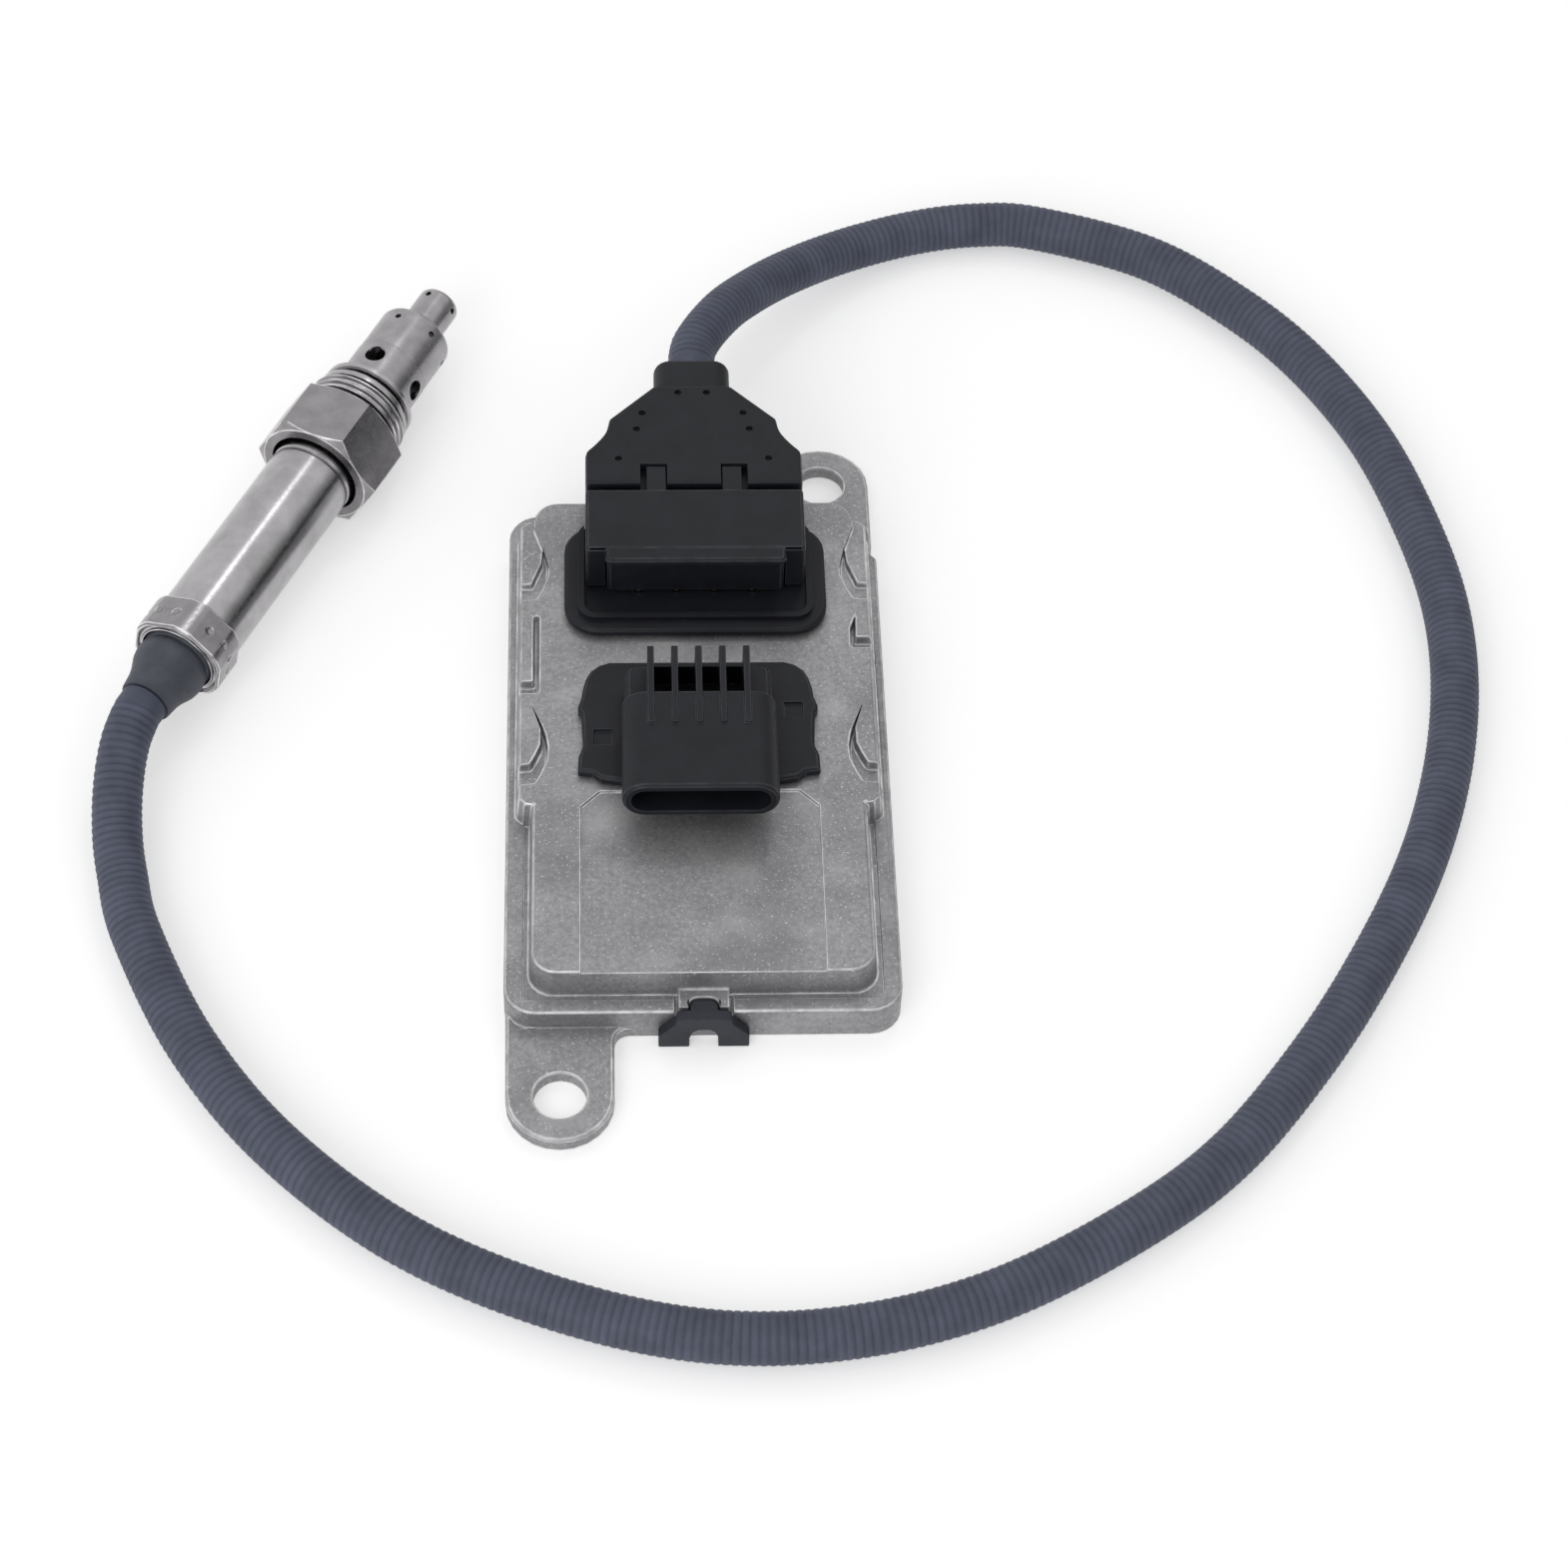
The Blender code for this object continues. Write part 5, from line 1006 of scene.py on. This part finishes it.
class SENSOR_OT_probe_tip(bpy.types.Operator):
    """Model the flange, the sealing ring and the two caps with their holes"""

    bl_idname = "sensor.probe_tip"
    bl_label = "Probe tip"

    def execute(self, context):
        body = merged_copy("sensor_body", "turned_sensor_body")
        round_edges(body, 0.12 * MM)
        smooth(body)
        finish_piece(body, bright_steel(), "sensor", "stainless_steel", "sensor_body")
        self.sealing_ring()
        self.outer_cap()
        self.inner_cap()
        return {"FINISHED"}

    def sealing_ring(self):
        """The ring between the nut and the outer cap's flange."""
        rim, chamfer = SEAL_RADIUS - 0.4 * MM, 0.3 * MM
        seal = lathe(
            "sealing_ring",
            [
                (rim, SEAL_START), (SEAL_RADIUS, SEAL_START + chamfer),
                (SEAL_RADIUS, SEAL_END - chamfer), (rim, SEAL_END),
                (SEAL_BORE, SEAL_END), (SEAL_BORE, SEAL_START),
            ],
            segments=96, closed=True,
        )
        smooth(seal, 50.0)
        on_probe(seal)
        finish_piece(seal, bright_steel(), "sensor", "stainless_steel", "seal_ring")

    def outer_cap(self):
        """The wide cap: a stepped barrel with a rounded rim, four holes and six vents."""
        skirt, end, step = OUTER_CAP_RADIUS, OUTER_CAP_END, 82.0 * MM
        barrel, bore, mouth = skirt - 0.1 * MM, skirt - CAP_WALL, INNER_CAP_RADIUS + 0.3 * MM
        cap = lathe(
            "outer_protection_cap",
            [
                (mouth, end), (barrel - 1.1 * MM, end), (barrel - 0.6 * MM, end - 0.15 * MM),
                (barrel - 0.2 * MM, end - 0.5 * MM), (barrel, end - 1.0 * MM),
                (barrel, step + 0.2 * MM), (barrel - 0.1 * MM, step), (skirt, step - 0.2 * MM),
                (skirt, SEAL_START), (bore, SEAL_START), (bore, end - 1.2 * MM),
                (bore - 0.4 * MM, end - 0.7 * MM), (bore - 1.2 * MM, end - CAP_WALL),
                (mouth, end - CAP_WALL),
            ],
            segments=96, closed=True,
        )
        span = (skirt - 1.0 * MM, skirt + 0.5 * MM)
        pierce(cap, CAP_HOLE_RADIUS, 78.4 * MM, count=4, start=-8, span=span)
        pierce(cap, CAP_VENT_RADIUS, 89.6 * MM, count=6, start=14, span=span)
        smooth(cap, 40.0)
        on_probe(cap)
        finish_piece(cap, cap_steel(), "sensor", "stainless_steel", "outer_cap")

    def inner_cap(self):
        """The narrow cap, flanged inside the wide one, with one vent at its end and four around."""
        outside, end = INNER_CAP_RADIUS, INNER_CAP_END
        inside = outside - 0.45 * MM
        flange, flange_start = OUTER_CAP_RADIUS - 0.9 * MM, 76.3 * MM
        flange_end = flange_start + CAP_WALL
        cap = lathe(
            "inner_protection_cap",
            [
                (CAP_VENT_RADIUS, end), (outside - 0.6 * MM, end),
                (outside - 0.25 * MM, end - 0.15 * MM), (outside - 0.05 * MM, end - 0.5 * MM),
                (outside, end - 0.9 * MM), (outside, flange_end), (flange, flange_end),
                (flange, flange_start), (inside, flange_start), (inside, end - 0.7 * MM),
                (CAP_VENT_RADIUS, end - 0.45 * MM),
            ],
            segments=72, closed=True,
        )
        span = (outside - 1.0 * MM, outside + 0.5 * MM)
        pierce(cap, CAP_VENT_RADIUS, 100.4 * MM, count=4, start=71, span=span)
        smooth(cap, 40.0)
        on_probe(cap)
        finish_piece(cap, cap_steel(), "sensor", "stainless_steel", "inner_cap")


def pierce(cap, radius, station, count, start, span):
    """Drill a ring of round holes through a cap's wall, the first at start degrees."""
    for index in range(count):
        turn = Matrix.Rotation(math.radians(start) + 2 * math.pi * index / count, 4, "Z")
        lay = Matrix.Rotation(math.pi / 2, 4, "Y")
        matrix = Matrix.Translation((0, 0, station)) @ turn @ lay
        carve(cap, drill(radius, *span, matrix))


# Carried-over pieces


# The finish that takes the place of each plain material of the CAD
FINISHES = {
    "rolled_aluminium": rolled_metal,
    "orange_silicone": seal_rubber,
    "zinc_plated_steel": zinc_plate,
    "tinned_brass": tinned_metal,
    "board_laminate": green_laminate,
    "moulded_chip": chip_moulding,
    "white_ceramic": ceramic_body,
}


class SENSOR_OT_inner_pieces(bpy.types.Operator):
    """Give the pieces that keep their CAD shape their finished materials"""

    bl_idname = "sensor.inner_pieces"
    bl_label = "Inner pieces"

    def execute(self, context):
        for node in frame["nodes"].values():
            for place in node.material_slots:
                plain = place.material.name.split(".")[0] if place.material else None
                if plain in FINISHES:
                    place.material = FINISHES[plain]()
        return {"FINISHED"}


# Stage

WHITE = (1.0, 1.0, 1.0, 1.0)
FLOOR_WHITE = (0.9, 0.9, 0.9, 1.0)
WALL_GREY = (0.3, 0.3, 0.3, 1.0)
FLOOR_LIFT = 0.42
FLOOR_SIZE = 6.0
FLOOR_DROP = 0.2 * MM
DIFFUSE_LEVEL = 0.6


class SENSOR_OT_stage(bpy.types.Operator):
    """Set the floor, the soft light and the camera"""

    bl_idname = "sensor.stage"
    bl_label = "Stage"

    def execute(self, context):
        self.floor()
        self.world(context.scene)
        self.softbox("top_light", place=(0.224, 0.668, 1.174), size=0.15, power=0.5)
        self.softbox("front_light", place=(-0.5, -1.0, 0.75), size=0.8, power=4.0)
        self.camera(context.scene)
        context.scene.view_settings.view_transform = "Standard"
        return {"FINISHED"}

    def floor(self):
        """A pale plane whose own colour the camera sees as white, with soft shadows."""
        deselect()
        bpy.ops.mesh.primitive_plane_add(size=FLOOR_SIZE, location=(0, 0, -FLOOR_DROP))
        floor = settle(bpy.context.object)
        floor.name = "floor"
        material = bpy.data.materials.new("floor_white")
        material.use_nodes = True
        tree = material.node_tree
        shader = tree.nodes["Principled BSDF"]
        shader.inputs["Base Color"].default_value = FLOOR_WHITE
        shader.inputs["Roughness"].default_value = 0.9
        shader.inputs["Emission Color"].default_value = WHITE
        path = add(tree, "ShaderNodeLightPath").outputs
        seen = combine(tree, "MAXIMUM", path["Is Camera Ray"], path["Is Glossy Ray"])
        glow = combine(tree, "MULTIPLY", seen, FLOOR_LIFT)
        tree.links.new(glow, shader.inputs["Emission Strength"])
        floor.data.materials.append(material)

    def world(self, scene):
        """A white studio with a dim wall and a dim patch round the camera, for the steel."""
        world = bpy.data.worlds.new("studio")
        scene.world = world
        world.use_nodes = True
        tree = world.node_tree
        background = tree.nodes["Background"]
        link = tree.links.new
        path = add(tree, "ShaderNodeLightPath").outputs
        direction = add(tree, "ShaderNodeTexCoord").outputs["Generated"]
        parts = add(tree, "ShaderNodeSeparateXYZ")
        link(direction, parts.inputs["Vector"])
        toward = add(tree, "ShaderNodeVectorMath", operation="DOT_PRODUCT")
        toward.inputs[1].default_value = -Vector(CAMERA_FORWARD)
        link(direction, toward.inputs[0])
        soft = {"kind": "SMOOTHSTEP"}
        east = ramp(tree, parts.outputs["X"], low=0.1, high=0.5, **soft)
        down = ramp(tree, parts.outputs["Z"], low=0.25, high=0.6, first=1.0, last=0.0, **soft)
        wall = combine(tree, "MULTIPLY", east, down)
        round_camera = ramp(tree, toward.outputs["Value"], low=0.95, high=0.99, **soft)
        dim = combine(tree, "MAXIMUM", wall, round_camera)
        behind = combine(tree, "SUBTRACT", 1.0, path["Is Camera Ray"])
        shade = add(tree, "ShaderNodeMix", data_type="RGBA", in_A=WHITE, in_B=WALL_GREY)
        link(combine(tree, "MULTIPLY", dim, behind), shade.inputs["Factor"])
        link(shade.outputs["Result"], background.inputs["Color"])
        seen = combine(tree, "MAXIMUM", path["Is Camera Ray"], path["Is Transmission Ray"])
        mirrored = combine(tree, "MAXIMUM", seen, path["Is Glossy Ray"])
        level = ramp(tree, mirrored, low=0.0, high=1.0, first=DIFFUSE_LEVEL)
        link(level, background.inputs["Strength"])

    def softbox(self, name, place, size, power):
        """A square area lamp that faces the object."""
        lamp = bpy.data.lights.new(name, "AREA")
        lamp.size = size
        lamp.energy = power
        obj = bpy.data.objects.new(name, lamp)
        bpy.context.scene.collection.objects.link(obj)
        obj.location = place
        obj.rotation_euler = (-Vector(place)).to_track_quat("-Z", "Y").to_euler()

    def camera(self, scene):
        """The camera that the photograph was fitted with."""
        data = bpy.data.cameras.new("photo_camera")
        data.sensor_width = SENSOR_WIDTH
        data.lens = SENSOR_WIDTH * FOCAL_PIXELS / PHOTO_PIXELS
        data.clip_start = 10.0 * MM
        obj = bpy.data.objects.new("photo_camera", data)
        scene.collection.objects.link(obj)
        back = -Vector(CAMERA_FORWARD).normalized()
        right = Vector(CAMERA_UP).cross(back).normalized()
        up = back.cross(right)
        turn = Matrix((right, up, back)).transposed().to_4x4()
        obj.matrix_world = Matrix.Translation(CAMERA_PLACE) @ turn
        scene.camera = obj


class SENSOR_PT_panel(bpy.types.Panel):
    """Lists the settings and the operators in the sidebar"""

    bl_idname = "SENSOR_PT_panel"
    bl_label = "Sensor"
    bl_space_type = "VIEW_3D"
    bl_region_type = "UI"
    bl_category = "Sensor"

    def draw(self, context):
        for name in SETTINGS:
            settings = getattr(context.scene, name)
            for key in settings.__annotations__:
                self.layout.prop(settings, key)
        for operator in OPERATORS:
            self.layout.operator(operator.bl_idname)


SETTINGS = {
    "sensor_cable": CableSettings,
    "sensor_casting": CastingSettings,
    "sensor_plastic": PlasticSettings,
    "sensor_probe": ProbeSettings,
}
OPERATORS = [
    SENSOR_OT_stage,
    SENSOR_OT_cable,
    SENSOR_OT_casting,
    SENSOR_OT_mouldings,
    SENSOR_OT_union_nut,
    SENSOR_OT_probe_shell,
    SENSOR_OT_probe_tip,
    SENSOR_OT_inner_pieces,
]


def register():
    """Register the settings, the operators and the panel."""
    for name, group in SETTINGS.items():
        bpy.utils.register_class(group)
        setattr(bpy.types.Scene, name, bpy.props.PointerProperty(type=group))
    for item in OPERATORS + [SENSOR_PT_panel]:
        bpy.utils.register_class(item)


def unregister():
    """Take back what register added."""
    for item in reversed(OPERATORS + [SENSOR_PT_panel]):
        bpy.utils.unregister_class(item)
    for name, group in SETTINGS.items():
        delattr(bpy.types.Scene, name)
        bpy.utils.unregister_class(group)


def main():
    """Register, then build everything in order."""
    register()
    for operator in OPERATORS:
        group, call = operator.bl_idname.split(".")
        getattr(getattr(bpy.ops, group), call)()


if __name__ == "__main__":
    main()
